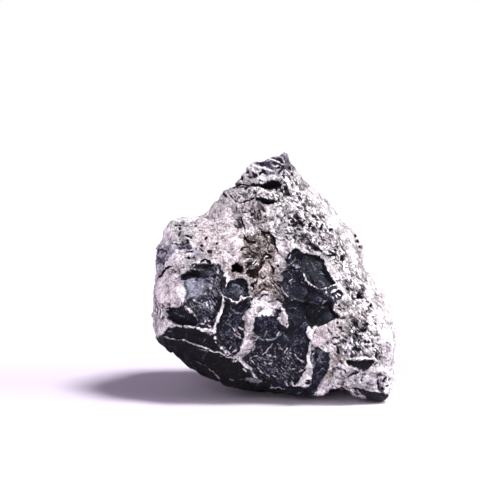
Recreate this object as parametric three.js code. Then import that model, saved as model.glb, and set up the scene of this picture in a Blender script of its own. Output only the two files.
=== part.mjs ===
// A zebra rock: one angular fragment of black limestone broken and cemented again by pale calcite,
// as sold for aquariums and planters. It is one natural piece, so it is one mesh.
//
// Millimetres, +Z up. The side that is shown faces -Y. The stone rests on its flat seat at z = 0,
// and the origin is under the middle of its bounding box.
//
// The stone is made in five steps:
//   1. BLOCKS, convex lumps given by their corners, melt into one rough mass;
//   2. rays from a point inside find its surface, each hit becoming a vertex, evenly spread;
//   3. vertices near the outline of a MARK (a fragment, a hole, a seam) are pulled onto it;
//   4. marks on the front and buried fragments elsewhere sink or raise the surface;
//   5. noise roughens it: gently on the fragments, strongly on the weathered crust.

import * as THREE from "three";
import { ConvexHull } from "three/addons/math/ConvexHull.js";
import { ImprovedNoise } from "three/addons/math/ImprovedNoise.js";
import { mergeVertices } from "three/addons/utils/BufferGeometryUtils.js";

// ---- driving dimensions ---------------------------------------------------------------------

const HEIGHT = 191; // seat to tip, before roughness
const MESH_DETAIL = 21; // 20 * (MESH_DETAIL + 1)^2 triangles
const HEART = new THREE.Vector3(2, 6, 84); // every ray starts here
const REACH = 175; // longer than any ray to the surface
const FRONT_PULL = 0.22; // how much denser the vertices are on the front
const MELT = 1.6; // how far neighbouring blocks run into each other

const SEAT_CUT = 1; // the blocks reach this far below the seat, where they are cut flat
const SEAT_SNAP = 0.5; // a vertex this near to the seat is put on it
const SEAT_FADE = 7; // roughness and detail fade in over this height above the seat

// Marks are laid out on a plane that leans back a little, as the shown side does.
const LEAN = THREE.MathUtils.degToRad(8);
const FOOT_Y = -45; // the plane's lower edge stands here, at z = 0
const EDGE_SNAP = 1.6; // a vertex this near to a mark's outline is pulled onto it
const WALL = 1.8; // a sunk mark reaches its depth this far inside its outline

// Roughness: [size of the lumps, how far they stand out].
const SWELL = [[46, 3.2], [21, 1.7]]; // everywhere
const CRUST = [[12, 1.4], [6.5, 0.7]]; // on the weathered crust only
const CALM = 0.18; // how much of the crust's roughness the fragments keep

// Fragments buried in the sides, the back and the top.
const BURIED_COUNT = 130;
const BURIED_SEED = 7;
const BURIED_WARP = 3; // how crooked their boundaries are
const BURIED_SINK = 4.6; // deepest fragment
const BURIED_TILT = 0.16; // steepest fragment, in millimetres of depth per millimetre

// ---- step 1: the rough mass -----------------------------------------------------------------

// Corners of one horizontal cut through a block.
const cut = (z, corners) => corners.map(([x, y]) => new THREE.Vector3(x, y, z));

const BLOCKS = {
  body: [
    cut(-SEAT_CUT, [[-24, 6], [10, 1], [46, 6], [64, 34], [26, 60], [-22, 50]]),
    cut(6, [[33, -46]]),
    cut(13, [[-38, -40], [6, -46], [-44, 10], [-34, 50]]),
    cut(15, [[57, -50]]),
    cut(21, [[-57, -36]]),
    cut(26, [[-20, -53], [30, -58]]),
    cut(34, [[-79, -24], [-72, 34]]),
    cut(42, [[-93, -20], [-94, 6], [-50, -55], [16, 76]]),
    cut(51, [[-86, -40], [48, -60], [66, 56]]),
    cut(58, [[-90, -40], [-50, -59], [-92, 24]]),
    cut(84, [[-96, -27], [-74, -51], [-42, -60], [44, -60], [-96, 18], [-62, 66]]),
    cut(108, [[-95, -22], [-68, -50], [-20, -57], [30, -54], [30, 64]]),
    cut(120, [[71, 6], [68, 34]]),
    cut(133, [[-90, -6], [-76, -28], [-34, -42], [18, -42], [46, -14], [62, 22], [-42, 50]]),
    cut(141, [[-81, -2], [-58, -16], [-50, 26], [-78, 16]]),
  ],
  peak: [
    cut(105, [[-46, -46], [25, -51], [58, -26], [72, 24], [26, 58], [-42, 44]]),
    cut(148, [[-48, -14], [-22, -32], [18, -30], [44, -6], [51, 22], [6, 46]]),
    cut(169, [[-31, -6], [-6, -20], [18, -15], [30, 12], [2, 32]]),
    cut(182, [[-17, -3], [2, -11], [17, 0]]),
    cut(HEIGHT, [[5, 2], [11, 5]]),
  ],
  flank: [
    cut(-SEAT_CUT, [[82, -46], [88, -46], [89, -36], [84, 24], [60, 33], [57, -2]]),
    cut(13, [[60, -50], [93, -47], [96, -16], [86, 36]]),
    cut(22, [[60, -57]]),
    cut(30, [[88, -54]]),
    cut(48, [[46, -60], [92, -50], [99, -18], [93, 30], [58, 58]]),
    cut(72, [[84, -42], [94, -8], [89, 30], [64, 60]]),
    cut(88, [[76, -24], [83, 6], [77, 36]]),
    cut(101, [[50, -38], [67, -16], [71, 10], [64, 40]]),
  ],
  backSlab: [
    cut(18, [[-30, 50], [34, 62], [50, 40]]),
    cut(30, [[-48, 52], [44, 76]]),
    cut(64, [[-40, 72], [40, 79], [56, 60]]),
    cut(100, [[-20, 64], [14, 67], [38, 56]]),
  ],
  backKnob: [
    cut(96, [[-64, 50], [-20, 64], [-10, 40]]),
    cut(124, [[-70, 30], [-56, 58], [-22, 62], [-10, 40]]),
    cut(142, [[-50, 24], [-28, 46], [-16, 30]]),
  ],
};

// The flat faces of a block, from its corners.
function facesOf(cuts) {
  const hull = new ConvexHull().setFromPoints(cuts.flat());
  return hull.faces.map((face) => ({ normal: face.normal.clone(), constant: face.constant }));
}

const blockFaces = Object.values(BLOCKS).map(facesOf);

// Millimetres from a block's nearest flat face, negative inside it.
function blockDistance(faces, point) {
  let distance = -Infinity;
  for (const { normal, constant } of faces) {
    distance = Math.max(distance, normal.dot(point) - constant);
  }
  return distance;
}

// All blocks melted together.
function massDistance(point) {
  let sum = 0;
  for (const faces of blockFaces) {
    sum += Math.exp(-blockDistance(faces, point) / MELT);
  }
  return -MELT * Math.log(sum);
}

// ---- roughness ------------------------------------------------------------------------------

const ease = THREE.MathUtils.smoothstep;

const perlin = new ImprovedNoise();

function roughness(layers, point) {
  let height = 0;
  for (const [size, amount] of layers) {
    height += amount * perlin.noise(point.x / size + 9.1, point.y / size + 3.7, point.z / size + 5.3);
  }
  return height;
}

// Ridges and pits instead of soft lumps: the same noise, folded.
function crustHeight(point) {
  let height = 0;
  for (const [size, amount] of CRUST) {
    const fold = perlin.noise(point.x / size + 2.3, point.y / size + 8.9, point.z / size + 1.7);
    height += amount * (1 - 3.4 * Math.abs(fold));
  }
  return height;
}

// ---- step 2: an even net of points on the surface ---------------------------------------------

const MARCH = 2;

// Where the ray from the heart leaves the mass; nothing is below the seat.
function surfaceOn(direction) {
  const point = new THREE.Vector3();
  const at = (t) => point.copy(direction).multiplyScalar(t).add(HEART);
  const inside = (t) => {
    at(t);
    const swell = roughness(SWELL, point) * ease(point.z, 0, SEAT_FADE);
    return point.z > 0 && massDistance(point) < swell;
  };
  let outer = REACH;
  while (!inside(outer - MARCH)) outer -= MARCH;
  let inner = outer - MARCH;
  for (let i = 0; i < 14; i++) {
    const middle = (inner + outer) / 2;
    if (inside(middle)) inner = middle;
    else outer = middle;
  }
  return at(inner).clone();
}

const surfaceToward = (target) => surfaceOn(target.clone().sub(HEART).normalize());

// A ball of even triangles, drawn together on the front.
function ballNet() {
  const ball = new THREE.IcosahedronGeometry(1, MESH_DETAIL);
  ball.deleteAttribute("normal");
  ball.deleteAttribute("uv");
  const net = mergeVertices(ball, 1e-6);
  const places = net.getAttribute("position");
  const points = [];
  for (let i = 0; i < places.count; i++) {
    const direction = new THREE.Vector3().fromBufferAttribute(places, i).normalize();
    direction.y -= FRONT_PULL;
    points.push(surfaceOn(direction.normalize()));
  }
  return { net, points };
}

function neighboursOf(net) {
  const index = net.getIndex().array;
  const near = Array.from({ length: net.getAttribute("position").count }, () => new Set());
  for (let i = 0; i < index.length; i += 3) {
    const [a, b, c] = [index[i], index[i + 1], index[i + 2]];
    near[a].add(b).add(c);
    near[b].add(a).add(c);
    near[c].add(a).add(b);
  }
  return near.map((set) => [...set]);
}

// Each point moves toward the middle of its neighbours, and back onto the surface.
function relax(points, near, rounds) {
  for (let round = 0; round < rounds; round++) {
    const middles = points.map((point, i) => {
      const middle = new THREE.Vector3();
      for (const j of near[i]) middle.add(points[j]);
      return middle.divideScalar(near[i].length).lerp(point, 0.4);
    });
    middles.forEach((middle, i) => points[i].copy(surfaceToward(middle)));
  }
}

// ---- marks on the front -----------------------------------------------------------------------

// Outlines are [across, up] in millimetres on the leaning plane. `sink` is how far the inside lies
// below the crust (negative stands proud), `rise` how much deeper it gets per millimetre upward,
// `bowl` how much deeper the middle is than the rim.
const MARKS = {
  lipShadow: {
    sink: 7,
    outline: [[-74, 99], [-66, 107], [-55, 113], [-48, 110], [-50, 106], [-62, 101]],
  },
  leftFragment: {
    sink: 3.5,
    rise: 0.07,
    outline: [
      [-74, 98], [-60, 101], [-46, 108], [-39, 99], [-41, 84], [-43, 76], [-49, 60],
      [-61, 60], [-65, 73], [-71, 79], [-72, 91],
    ],
  },
  leftLowFragment: {
    sink: 3.2,
    outline: [[-87, 76], [-74, 78], [-65, 72], [-60, 68], [-60, 60], [-74, 60], [-87, 66]],
  },
  upperStrip: {
    sink: 1.4,
    outline: [
      [-87, 59], [-66, 58], [-50, 54], [-42, 42], [-55, 45], [-70, 50], [-88, 53],
    ],
  },
  smallOval: {
    sink: 2.8,
    outline: [[-37, 97], [-30, 101], [-21, 98], [-20, 87], [-30, 81], [-38, 85]],
  },
  tallFragment: {
    sink: 3.2,
    outline: [
      [-40, 82], [-33, 79], [-22, 82], [-19, 78], [-23, 66], [-24, 52], [-32, 38], [-44, 48],
      [-46, 60], [-43, 70],
    ],
  },
  shell: {
    sink: 2.2,
    bowl: 2.4,
    outline: [[-16, 64], [-9, 70], [2, 70], [5, 60], [1, 53], [-11, 51], [-17, 57]],
  },
  lowerFragment: {
    sink: 2.6,
    outline: [
      [-16, 48], [1, 52], [12, 60], [10, 79], [16, 83], [28, 78], [27, 56], [28, 46], [27, 33],
      [20, 16], [-8, 16], [-27, 36],
    ],
  },
  upperPlate: {
    sink: 4,
    rise: 0.05,
    outline: [
      [10, 113], [18, 123], [25, 119], [37, 117], [44, 103], [50, 96], [45, 91], [37, 90],
      [29, 94], [21, 107],
    ],
  },
  middlePlate: {
    sink: 1.6,
    outline: [[8, 107], [19, 107], [28, 95], [41, 85], [40, 81], [25, 81], [12, 86], [5, 95]],
  },
  lowerPlate: {
    sink: 4.4,
    outline: [
      [10, 83], [26, 80], [42, 82], [48, 79], [53, 69], [45, 66], [36, 61], [27, 62], [20, 74],
    ],
  },
  rightLens: {
    sink: 3,
    outline: [[58, 33], [73, 34], [80, 32], [75, 26], [67, 26], [60, 28]],
  },
  rightWedge: { sink: 2.6, outline: [[61, 27], [75, 25], [66, 21], [58, 17]] },
  keelFragment: {
    sink: 2.4,
    outline: [[32, 43], [38, 43], [44, 40], [45, 31], [38, 17], [32, 10], [31, 28]],
  },
  hollowLeft: { sink: 9, bowl: 4, outline: [[-34, 105], [-31, 111], [-25, 110], [-25, 103]] },
  hollowRight: { sink: 6, bowl: 4, outline: [[-24, 103], [-20, 111], [-12, 109], [-12, 101]] },
  peakHollow: {
    sink: 7,
    bowl: 3,
    outline: [[-14, 173], [-6, 178], [3, 177], [6, 173], [1, 170], [-8, 171]],
  },
  peakSlot: { sink: 6, bowl: 2, outline: [[-19, 162], [-10, 164], [2, 162], [0, 158], [-12, 158]] },
  peakCorner: { sink: 4.5, outline: [[5, 174], [12, 171], [15, 164], [9, 163], [6, 168]] },
  rightPit: { sink: 5, outline: [[64, 83], [67, 90], [71, 87], [69, 82]] },
  flankSlot: { sink: 4, outline: [[23, 134], [30, 131], [39, 121], [33, 119], [25, 128]] },
  flankBand: { sink: 3.2, outline: [[11, 140], [18, 150], [26, 142], [20, 138]] },
  triangularPit: { sink: 4, outline: [[61, 61], [65, 66], [71, 59], [66, 58]] },
  roundPit: { sink: 4, outline: [[65, 40], [67, 45], [71, 43], [70, 39]] },
  plateNotch: { sink: 3.6, outline: [[44, 84], [50, 92], [55, 88], [50, 82]] },
  leftBlock: {
    sink: -3,
    outline: [[-93, 79], [-94, 98], [-84, 107], [-74, 102], [-73, 86], [-78, 78]],
  },
  leftRidge: { sink: -2, outline: [[-87, 111], [-80, 120], [-68, 122], [-66, 115], [-78, 108]] },
  smoothPatch: {
    sink: -1.2,
    outline: [
      [-62, 112], [-64, 132], [-54, 150], [-34, 156], [-30, 143], [-23, 133], [-27, 115],
      [-36, 110], [-50, 114],
    ],
  },
};

// Narrow raised seams and cracks: [height, half width, points along it].
const SEAMS = [
  [1.6, 3, [[-36, 100], [-39, 90], [-40, 77], [-46, 62], [-44, 47]]],
  [1.3, 2.6, [[-87, 61], [-66, 60], [-48, 56]]],
  [1, 2, [[-84, 51], [-66, 47], [-47, 40], [-28, 38]]],
  [1.5, 4, [[-15, 76], [-20, 68], [-21, 50], [-31, 36]]],
  [1.6, 3, [[27, 61], [29, 46], [28, 30], [23, 14]]],
  [1.4, 3, [[58, 17], [66, 21], [85, 29]]],
  [-3.2, 4, [[-7, 136], [-6, 120], [-2, 104]]],
  [-3, 2.5, [[-37, 170], [-25, 174], [-12, 172]]],
  [-2.4, 2.5, [[-92, 76], [-76, 76]]],
];

const onPlane = (point) => [
  point.x,
  point.z * Math.cos(LEAN) + (point.y - FOOT_Y) * Math.sin(LEAN),
];

// The nearest place on the line from a to b.
function nearestOnLine([px, py], [ax, ay], [bx, by]) {
  const [dx, dy] = [bx - ax, by - ay];
  const along = ((px - ax) * dx + (py - ay) * dy) / (dx * dx + dy * dy);
  const t = THREE.MathUtils.clamp(along, 0, 1);
  return [ax + t * dx, ay + t * dy];
}

// Distance to a row of points and the nearest place on it.
function nearestOnRow(place, row) {
  let best = { distance: Infinity, nearest: place };
  for (let i = 1; i < row.length; i++) {
    const nearest = nearestOnLine(place, row[i - 1], row[i]);
    const distance = Math.hypot(place[0] - nearest[0], place[1] - nearest[1]);
    if (distance < best.distance) best = { distance, nearest };
  }
  return best;
}

function isInside([px, py], outline) {
  let inside = false;
  outline.forEach(([ax, ay], i) => {
    const [bx, by] = outline[(i + 1) % outline.length];
    if (ay > py !== by > py && px < ax + ((py - ay) / (by - ay)) * (bx - ax)) inside = !inside;
  });
  return inside;
}

// A mark's outline as a closed row, its middle, and how far it reaches from there.
const marks = Object.values(MARKS).map(({ sink, rise = 0, bowl = 0, outline }) => {
  const middle = [0, 1].map((k) => outline.reduce((sum, p) => sum + p[k], 0) / outline.length);
  const reach = Math.max(...outline.map((p) => Math.hypot(p[0] - middle[0], p[1] - middle[1])));
  return { sink, rise, bowl, outline, row: [...outline, outline[0]], middle, reach };
});

const isNear = (mark, place, margin) =>
  Math.hypot(place[0] - mark.middle[0], place[1] - mark.middle[1]) < mark.reach + margin;

// How deep the marks cut at a place on the plane, and how much of the crust they leave.
function markDepth(place) {
  let depth = 0;
  let crust = 1;
  for (const mark of marks) {
    if (!isNear(mark, place, 0) || !isInside(place, mark.outline)) continue;
    const inward = nearestOnRow(place, mark.row).distance;
    const fullness = ease(inward, 0, WALL);
    const own = mark.sink + mark.rise * (place[1] - mark.middle[1]);
    const cutDepth = fullness * own + mark.bowl * ease(inward, 0, mark.reach);
    depth = Math.abs(cutDepth) > Math.abs(depth) ? cutDepth : depth;
    crust = Math.min(crust, 1 - fullness * (1 - CALM));
  }
  for (const [height, halfWidth, row] of SEAMS) {
    const { distance } = nearestOnRow(place, row);
    depth -= height * ease(halfWidth - distance, 0, halfWidth);
  }
  return { depth, crust };
}

// ---- step 3: vertices onto outlines -------------------------------------------------------------

function snapToOutlines(points, frontness) {
  points.forEach((point, i) => {
    if (frontness[i] < 0.5 || point.z < SEAT_FADE) return;
    const place = onPlane(point);
    let best = { distance: EDGE_SNAP, nearest: place };
    for (const mark of marks) {
      if (!isNear(mark, place, EDGE_SNAP)) continue;
      const found = nearestOnRow(place, mark.row);
      if (found.distance < best.distance) best = found;
    }
    const across = best.nearest[0] - place[0];
    const up = best.nearest[1] - place[1];
    const step = new THREE.Vector3(across, up * Math.sin(LEAN), up * Math.cos(LEAN));
    point.copy(surfaceToward(point.clone().add(step)));
  });
}

// ---- step 4: fragments buried in the other sides ------------------------------------------------

// The same numbers every time, from 0 to 1.
function steadyRandom(seed) {
  let state = seed;
  return () => {
    state = (Math.imul(state, 1664525) + 1013904223) >>> 0;
    return state / 4294967296;
  };
}

const random = steadyRandom(BURIED_SEED);
const buried = Array.from({ length: BURIED_COUNT }, () => ({
  middle: new THREE.Vector3(-105 + 210 * random(), -70 + 155 * random(), -5 + 205 * random()),
  tilt: new THREE.Vector3(random() - 0.5, random() - 0.5, random() - 0.5),
  depth: random(),
}));

// Bends space a little, so that the boundaries between fragments are crooked.
function bendPlace({ x, y, z }) {
  return new THREE.Vector3(
    x + BURIED_WARP * Math.sin(y / 9 + 1) * Math.cos(z / 7),
    y + BURIED_WARP * Math.sin(z / 10 + 2) * Math.cos(x / 8),
    z + BURIED_WARP * Math.sin(x / 11 + 3) * Math.cos(y / 6),
  );
}

function buriedDepth(point) {
  const bent = bendPlace(point);
  let first = null;
  let second = null;
  for (const fragment of buried) {
    const distance = bent.distanceTo(fragment.middle);
    if (!first || distance < first.distance) {
      second = first;
      first = { distance, fragment };
    } else if (!second || distance < second.distance) {
      second = { distance, fragment };
    }
  }
  const gap = first.fragment.middle.distanceTo(second.fragment.middle);
  const inward = (second.distance ** 2 - first.distance ** 2) / (2 * gap);
  const isDark = first.fragment.depth > 0.45;
  const fullness = ease(inward, 1, 4);
  const offset = bent.clone().sub(first.fragment.middle);
  const tilted = 2 * BURIED_TILT * first.fragment.tilt.dot(offset);
  return {
    depth: fullness * Math.max(tilted + (isDark ? BURIED_SINK * first.fragment.depth : -1), -1.5),
    crust: isDark ? 1 - fullness * (1 - CALM) * 0.8 : 1,
  };
}

// ---- putting it together ------------------------------------------------------------------------

// The way out of the mass at a point.
function outwardAt(point) {
  const step = 1.5;
  const slope = new THREE.Vector3();
  for (const axis of ["x", "y", "z"]) {
    const ahead = point.clone();
    const behind = point.clone();
    ahead[axis] += step;
    behind[axis] -= step;
    slope[axis] = massDistance(ahead) - massDistance(behind);
  }
  return slope.normalize();
}

const TOWARD_FRONT = new THREE.Vector3(0, -Math.cos(LEAN), Math.sin(LEAN));

function carve(point) {
  const outward = outwardAt(point);
  const front = ease(outward.dot(TOWARD_FRONT), 0.02, 0.22);
  const marked = markDepth(onPlane(point));
  const hidden = buriedDepth(point);
  const depth = THREE.MathUtils.lerp(hidden.depth, marked.depth, front);
  const crust = THREE.MathUtils.lerp(hidden.crust, marked.crust, front);
  const inward = (depth - crust * crustHeight(point)) * ease(point.z, 0, SEAT_FADE);
  const ray = point.clone().sub(HEART).normalize();
  const slant = Math.max(ray.dot(outward), 0.72);
  point.addScaledVector(ray, -inward / slant);
  if (point.z < SEAT_SNAP) {
    point.copy(ray).multiplyScalar(-HEART.z / ray.z).add(HEART);
    point.z = 0;
  }
}

const { net, points } = ballNet();
const near = neighboursOf(net);
relax(points, near, 12);
const frontness = points.map((point) => outwardAt(point).dot(TOWARD_FRONT));
snapToOutlines(points, frontness);
snapToOutlines(points, frontness);
points.forEach(carve);

const places = net.getAttribute("position");
points.forEach((point, i) => places.setXYZ(i, point.x, point.y, point.z));
net.computeBoundingBox();
const box = net.boundingBox;
net.translate(-(box.min.x + box.max.x) / 2, -(box.min.y + box.max.y) / 2, -box.min.z);
net.computeVertexNormals();

const limestone = new THREE.MeshStandardMaterial({ color: "#8f8a90", roughness: 0.9, metalness: 0 });
const rock = new THREE.Mesh(net, limestone);
rock.name = "zebra_rock";

const model = new THREE.Group();
model.name = "zebra_rock_model";
model.add(rock);
export default model;
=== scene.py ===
"""A zebra rock: blue-black limestone fragments, white calcite veins and a pitted, weathered crust.

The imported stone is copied, refined and carved a little more finely. Each vertex of the copy keeps
what the stone is there (fragment, vein, hollow, cream, tan ...) as distances and weights, and one
material turns those into colour, gloss and fine relief.

Lengths in this file are in millimetres where a name or a property says so, and in metres where
Blender needs them. +Z is up and the shown side faces -Y.
"""

import math
from functools import reduce

import bpy
import numpy as np
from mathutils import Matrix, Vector


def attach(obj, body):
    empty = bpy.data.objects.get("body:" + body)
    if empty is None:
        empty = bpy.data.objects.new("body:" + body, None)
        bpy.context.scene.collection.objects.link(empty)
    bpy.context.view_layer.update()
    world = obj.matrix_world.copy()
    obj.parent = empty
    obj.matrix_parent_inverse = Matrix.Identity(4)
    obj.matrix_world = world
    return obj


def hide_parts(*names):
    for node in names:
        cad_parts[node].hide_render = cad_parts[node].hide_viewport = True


bl_info = {
    "name": "Zebra rock",
    "version": (1, 0, 0),
    "blender": (4, 5, 0),
    "location": "View3D > Sidebar > Zebra rock",
    "description": (
        "Builds a veined, weathered stone over its packed solid, and a plain stage for it"),
    "category": "Object",
}

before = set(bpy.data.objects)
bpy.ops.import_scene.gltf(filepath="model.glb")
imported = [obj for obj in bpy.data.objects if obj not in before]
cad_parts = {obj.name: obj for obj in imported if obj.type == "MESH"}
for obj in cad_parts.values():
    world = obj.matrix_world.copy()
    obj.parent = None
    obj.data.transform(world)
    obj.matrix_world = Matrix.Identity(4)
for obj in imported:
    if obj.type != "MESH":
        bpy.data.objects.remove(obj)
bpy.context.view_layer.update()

NODE = "zebra_rock"
MM = 0.001

# ---- where things are on the shown side ---------------------------------------------------------

# The front leans back a little. Marks are laid out on a plane that leans with it: `across` is
# measured to the right and `up` along the plane, in millimetres, from its lower edge.
LEAN = math.radians(8)
PLANE_FOOT_MM = (-0.36, -52.36, 0.0)

# The buried fragments of the solid are laid out round this point.
BURIED_MIDDLE_MM = (-0.36, -7.36, 0.0)

# Dark limestone fragments: how bright, partly painted light and shade (those that face down or
# lie in shadow are painted darker), how deep they lie under the crust, how much deeper per
# millimetre upward, how much deeper in the middle, and the outline.
FRAGMENTS = {
    "under the lip": (1.7, 4.4, 0, 0, [
        (-73.6, 99.5), (-72, 103.4), (-69, 105), (-66.6, 105.4), (-65, 108.6), (-62, 110),
        (-57, 111.6), (-52, 112), (-48, 110.6), (-45.4, 108.6), (-50, 106), (-55, 104),
        (-62, 101.5), (-68, 99.5)]),
    "upper left": (0.9, 2.4, 0.07, 0, [
        (-73, 98), (-60, 101.5), (-45, 108.6), (-40, 105), (-38, 99), (-41, 90), (-41.5, 84),
        (-42.5, 77), (-47, 67), (-49.5, 60.5), (-60, 60), (-61, 66), (-60, 69), (-65, 73.5),
        (-70, 78), (-70.5, 84), (-71.5, 91)]),
    "lower left": (0.5, 3.2, 0, 0, [
        (-84.6, 75.5), (-79, 76.5), (-74, 77.5), (-70, 76), (-65, 72), (-60.5, 68), (-60, 61.5),
        (-66, 62), (-73, 61.5), (-78, 64), (-81, 66), (-84, 67)]),
    # faces down: painted shade
    "left strip": (-0.8, 1.4, 0, 0, [
        (-85, 59.6), (-80, 60.4), (-73, 61), (-66, 60.2), (-60, 58.8), (-56, 57.6), (-51, 55.6),
        (-48, 54), (-46.6, 51), (-44, 46), (-42, 42.5), (-48, 42), (-55, 45), (-62, 47),
        (-66, 48.5), (-70, 50.5), (-78, 50.5), (-90, 52)]),
    # dark limestone facing down, painted darker still where it lies in shadow: painted shade
    "underside slab": (-1.1, 0.6, 0, 0, [
        (-96, 50), (-85, 50), (-77, 48), (-70, 48), (-66, 46), (-60, 44.5), (-52, 41.5),
        (-45, 39), (-40, 38), (-36, 35), (-30, 33), (-25, 30), (-20, 25), (-14, 20.5), (-8, 16),
        (2, 14), (2, 0), (-62, 4), (-98, 34)]),
    "small oval": (1.1, 2.8, 0, 0, [
        (-37, 97), (-30, 100.5), (-24, 100), (-20.5, 97), (-20, 91), (-20, 86), (-24, 84),
        (-30, 81), (-33, 80.5), (-38, 85), (-39, 91)]),
    "tall": (0.9, 3.2, 0, 0, [
        (-40, 84), (-36, 82), (-33, 79.5), (-28, 80.5), (-22, 83), (-19, 81), (-18, 77),
        (-22, 73), (-24, 68), (-23, 63), (-22.5, 58), (-24, 53), (-25, 47), (-28, 41), (-31, 38),
        (-35, 38), (-39, 42), (-44, 48), (-46, 54), (-45.5, 62), (-44, 68), (-40, 76)]),
    "shell": (1.0, 2.2, 0, 2.4, [
        (-16, 65), (-14.4, 69), (-10, 71), (-4, 70.6), (1.6, 70.4), (4, 67), (5, 62), (5, 57),
        (1, 53), (-5, 51), (-11, 51.5), (-15, 54), (-17, 58)]),
    "lower middle": (0.8, 2.6, 0, 0, [
        (-16, 48), (-12, 50), (-5, 49.5), (1.5, 52), (5, 56), (5, 62), (4, 67), (3, 72), (5, 75),
        (8, 76), (9, 80), (13, 83), (20, 80), (28, 78), (28, 62), (26, 57), (28, 50), (29, 47),
        (27, 42), (27, 33), (25.5, 27), (23, 20), (20, 15), (12, 15), (0, 15), (-8, 16),
        (-12, 20), (-18, 26), (-24, 31), (-27, 36), (-22, 39), (-18, 43)]),
    "upper plate": (0.4, 4, 0.05, 0, [
        (9, 114.6), (9.8, 118.4), (13, 120.6), (18, 123.5), (24, 119.5), (32, 118.5), (37, 117),
        (40, 112), (42, 106), (44.8, 101), (49, 95.8), (47, 93), (42, 91), (37, 90), (30, 93.5),
        (26, 100), (22, 106), (18, 108), (13, 109.6), (10, 110.6)]),
    "middle plate": (0.5, 1.6, 0, 0, [
        (6, 105.6), (12, 106.2), (19, 105.4), (22, 104), (26, 98), (30, 92.5), (37, 88.5),
        (42, 84.5), (40, 81), (34, 80), (25, 81), (18, 83), (10, 86), (5, 91), (3.6, 95), (6, 99),
        (5, 103)]),
    "lower plate": (0.0, 4.4, 0, 0, [
        (10, 83), (18, 82), (26, 80), (34, 79), (42, 82), (45, 80.8), (45.8, 76.6), (49.4, 72.6),
        (51.6, 69.4), (50.6, 67.8), (46, 66.2), (41, 63.4), (36, 61.4), (31, 62), (28, 61),
        (26, 66), (22, 72), (14, 76), (9, 79)]),
    "keel": (1.1, 2.4, 0, 0, [
        (30.8, 42), (32, 45), (34.6, 46), (37.6, 44.4), (40.4, 42.4), (43.6, 41), (43.6, 35),
        (43.4, 30), (41.6, 25), (39.2, 20.4), (36, 16), (34.4, 11.6), (32, 10), (29.4, 12),
        (28.6, 17), (29.8, 24), (30.4, 31), (30.4, 37)]),
    "bottom rim": (0.1, 1.2, 0, 0, [
        (2, 14), (10, 15), (15, 15.5), (20, 13.5), (25, 12.5), (30, 11), (31, 4), (25, 3),
        (15, 4), (0, 6)]),
    "tip lobe": (1.0, 0.8, 0, 0, [
        (-15, 190), (-12.6, 193), (-9, 193.4), (-5, 191.6), (-2, 190), (-3, 188.3), (-8, 188.4),
        (-12, 188.6)]),
    # the foot's underside, in shadow: painted shade
    "foot sole": (0.0, 0.3, 0, 0, [
        (65, 12), (78, 9.4), (88, 8), (93, 4), (90, -4), (80, -4), (73, 5)]),
    "right lens": (0.4, 3, 0, 0, [
        (56.4, 35), (60, 35.8), (64, 35.2), (70, 36), (78.2, 35.2), (78.8, 33.4), (76.6, 30),
        (73.6, 27.6), (69.6, 26.8), (67, 27.4), (65, 29), (62.6, 30.4), (58, 30.4), (57, 32)]),
    "plate end": (0.7, 1.6, 0, 0, [
        (43, 84), (44, 89), (48, 90.5), (52, 90.5), (54.5, 87), (53, 82), (48, 81)]),
}

# Hollows: how deep, how much deeper in the middle, whether painted black inside (dirt and
# painted shade), and the outline.
HOLLOWS = {
    "lip shadow": (7, 0, True, [
        (-74, 98.6), (-72.6, 102), (-70, 104), (-66, 103.8), (-62, 104.4), (-57, 105.6),
        (-51, 107), (-46, 107.6), (-50, 104.8), (-55, 102.6), (-60, 100.4), (-66, 98.8),
        (-70, 98.2)]),
    "left eye": (9, 4, True, [
        (-34, 105), (-33, 110), (-29, 111.5), (-25, 110), (-24, 105), (-28, 103)]),
    "right eye": (6, 4, False, [
        (-24, 103), (-22, 108), (-18, 111), (-13, 110), (-11, 105), (-14, 101), (-20, 100)]),
    "tip lens": (7, 3, True, [
        (-13.5, 172), (-10, 173), (-6.4, 176), (-2.4, 177.3), (3, 176.9), (7, 175), (5.4, 171.8),
        (2, 169.8), (-3, 169.3), (-8, 170)]),
    "tip slot": (6, 2, True, [
        (-17, 162), (-12, 163.5), (-7, 162.5), (-3, 161.5), (3, 160), (1, 157.8), (-5, 157.5),
        (-10, 159), (-14, 160)]),
    "arch": (4, 0, False, [(41, 2), (42, 10), (46, 15.6), (52, 16.6), (58, 14), (63, 9), (70, 2)]),
    "tip streak": (1.4, 0, True, [
        (-3.6, 195), (0, 197), (4, 195.8), (7, 192.8), (8, 190.2), (4.6, 191.8), (1, 193.4)]),
    "tip sliver": (1.2, 0, True, [
        (-2.6, 191.4), (3, 190.8), (8.8, 188.8), (8.6, 186.2), (6, 187), (4, 188.8), (0, 189.9)]),
    "flank pit": (5, 0, True, [(65, 83.4), (65, 87), (69, 90), (70.4, 86), (70.4, 82)]),
    "flank slot": (2.4, 0, False, [
        (21, 135), (25.4, 133), (28, 128), (33, 126), (37, 122), (36.6, 120), (33, 120),
        (28, 121.4), (25.4, 124), (23.4, 128)]),
    "flank band": (2.4, 0, False, [
        (11, 141), (16, 144), (17, 149), (20, 150), (22, 146), (26, 143), (26, 140), (20, 138),
        (15, 139)]),
    "flank oval": (3, 0, True, [
        (52.4, 113.6), (53, 116), (55, 117.6), (56.4, 117.6), (57, 116), (56.4, 113.6),
        (54.4, 112.4)]),
    "triangular pit": (1.2, 0, False, [
        (58.6, 61), (61.6, 63.4), (62.8, 65.6), (67, 61.4), (67, 59.8), (60, 59.8)]),
    "round pit": (2.2, 1, True, [
        (63, 45.4), (68.7, 45.2), (68.7, 43.5), (66.7, 41.6), (64.3, 41.8), (63, 43.5)]),
    "left pit": (3, 0, True, [(-71, 115), (-69, 117.3), (-66.5, 117.6), (-66, 116), (-68, 114.8)]),
}

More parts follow.
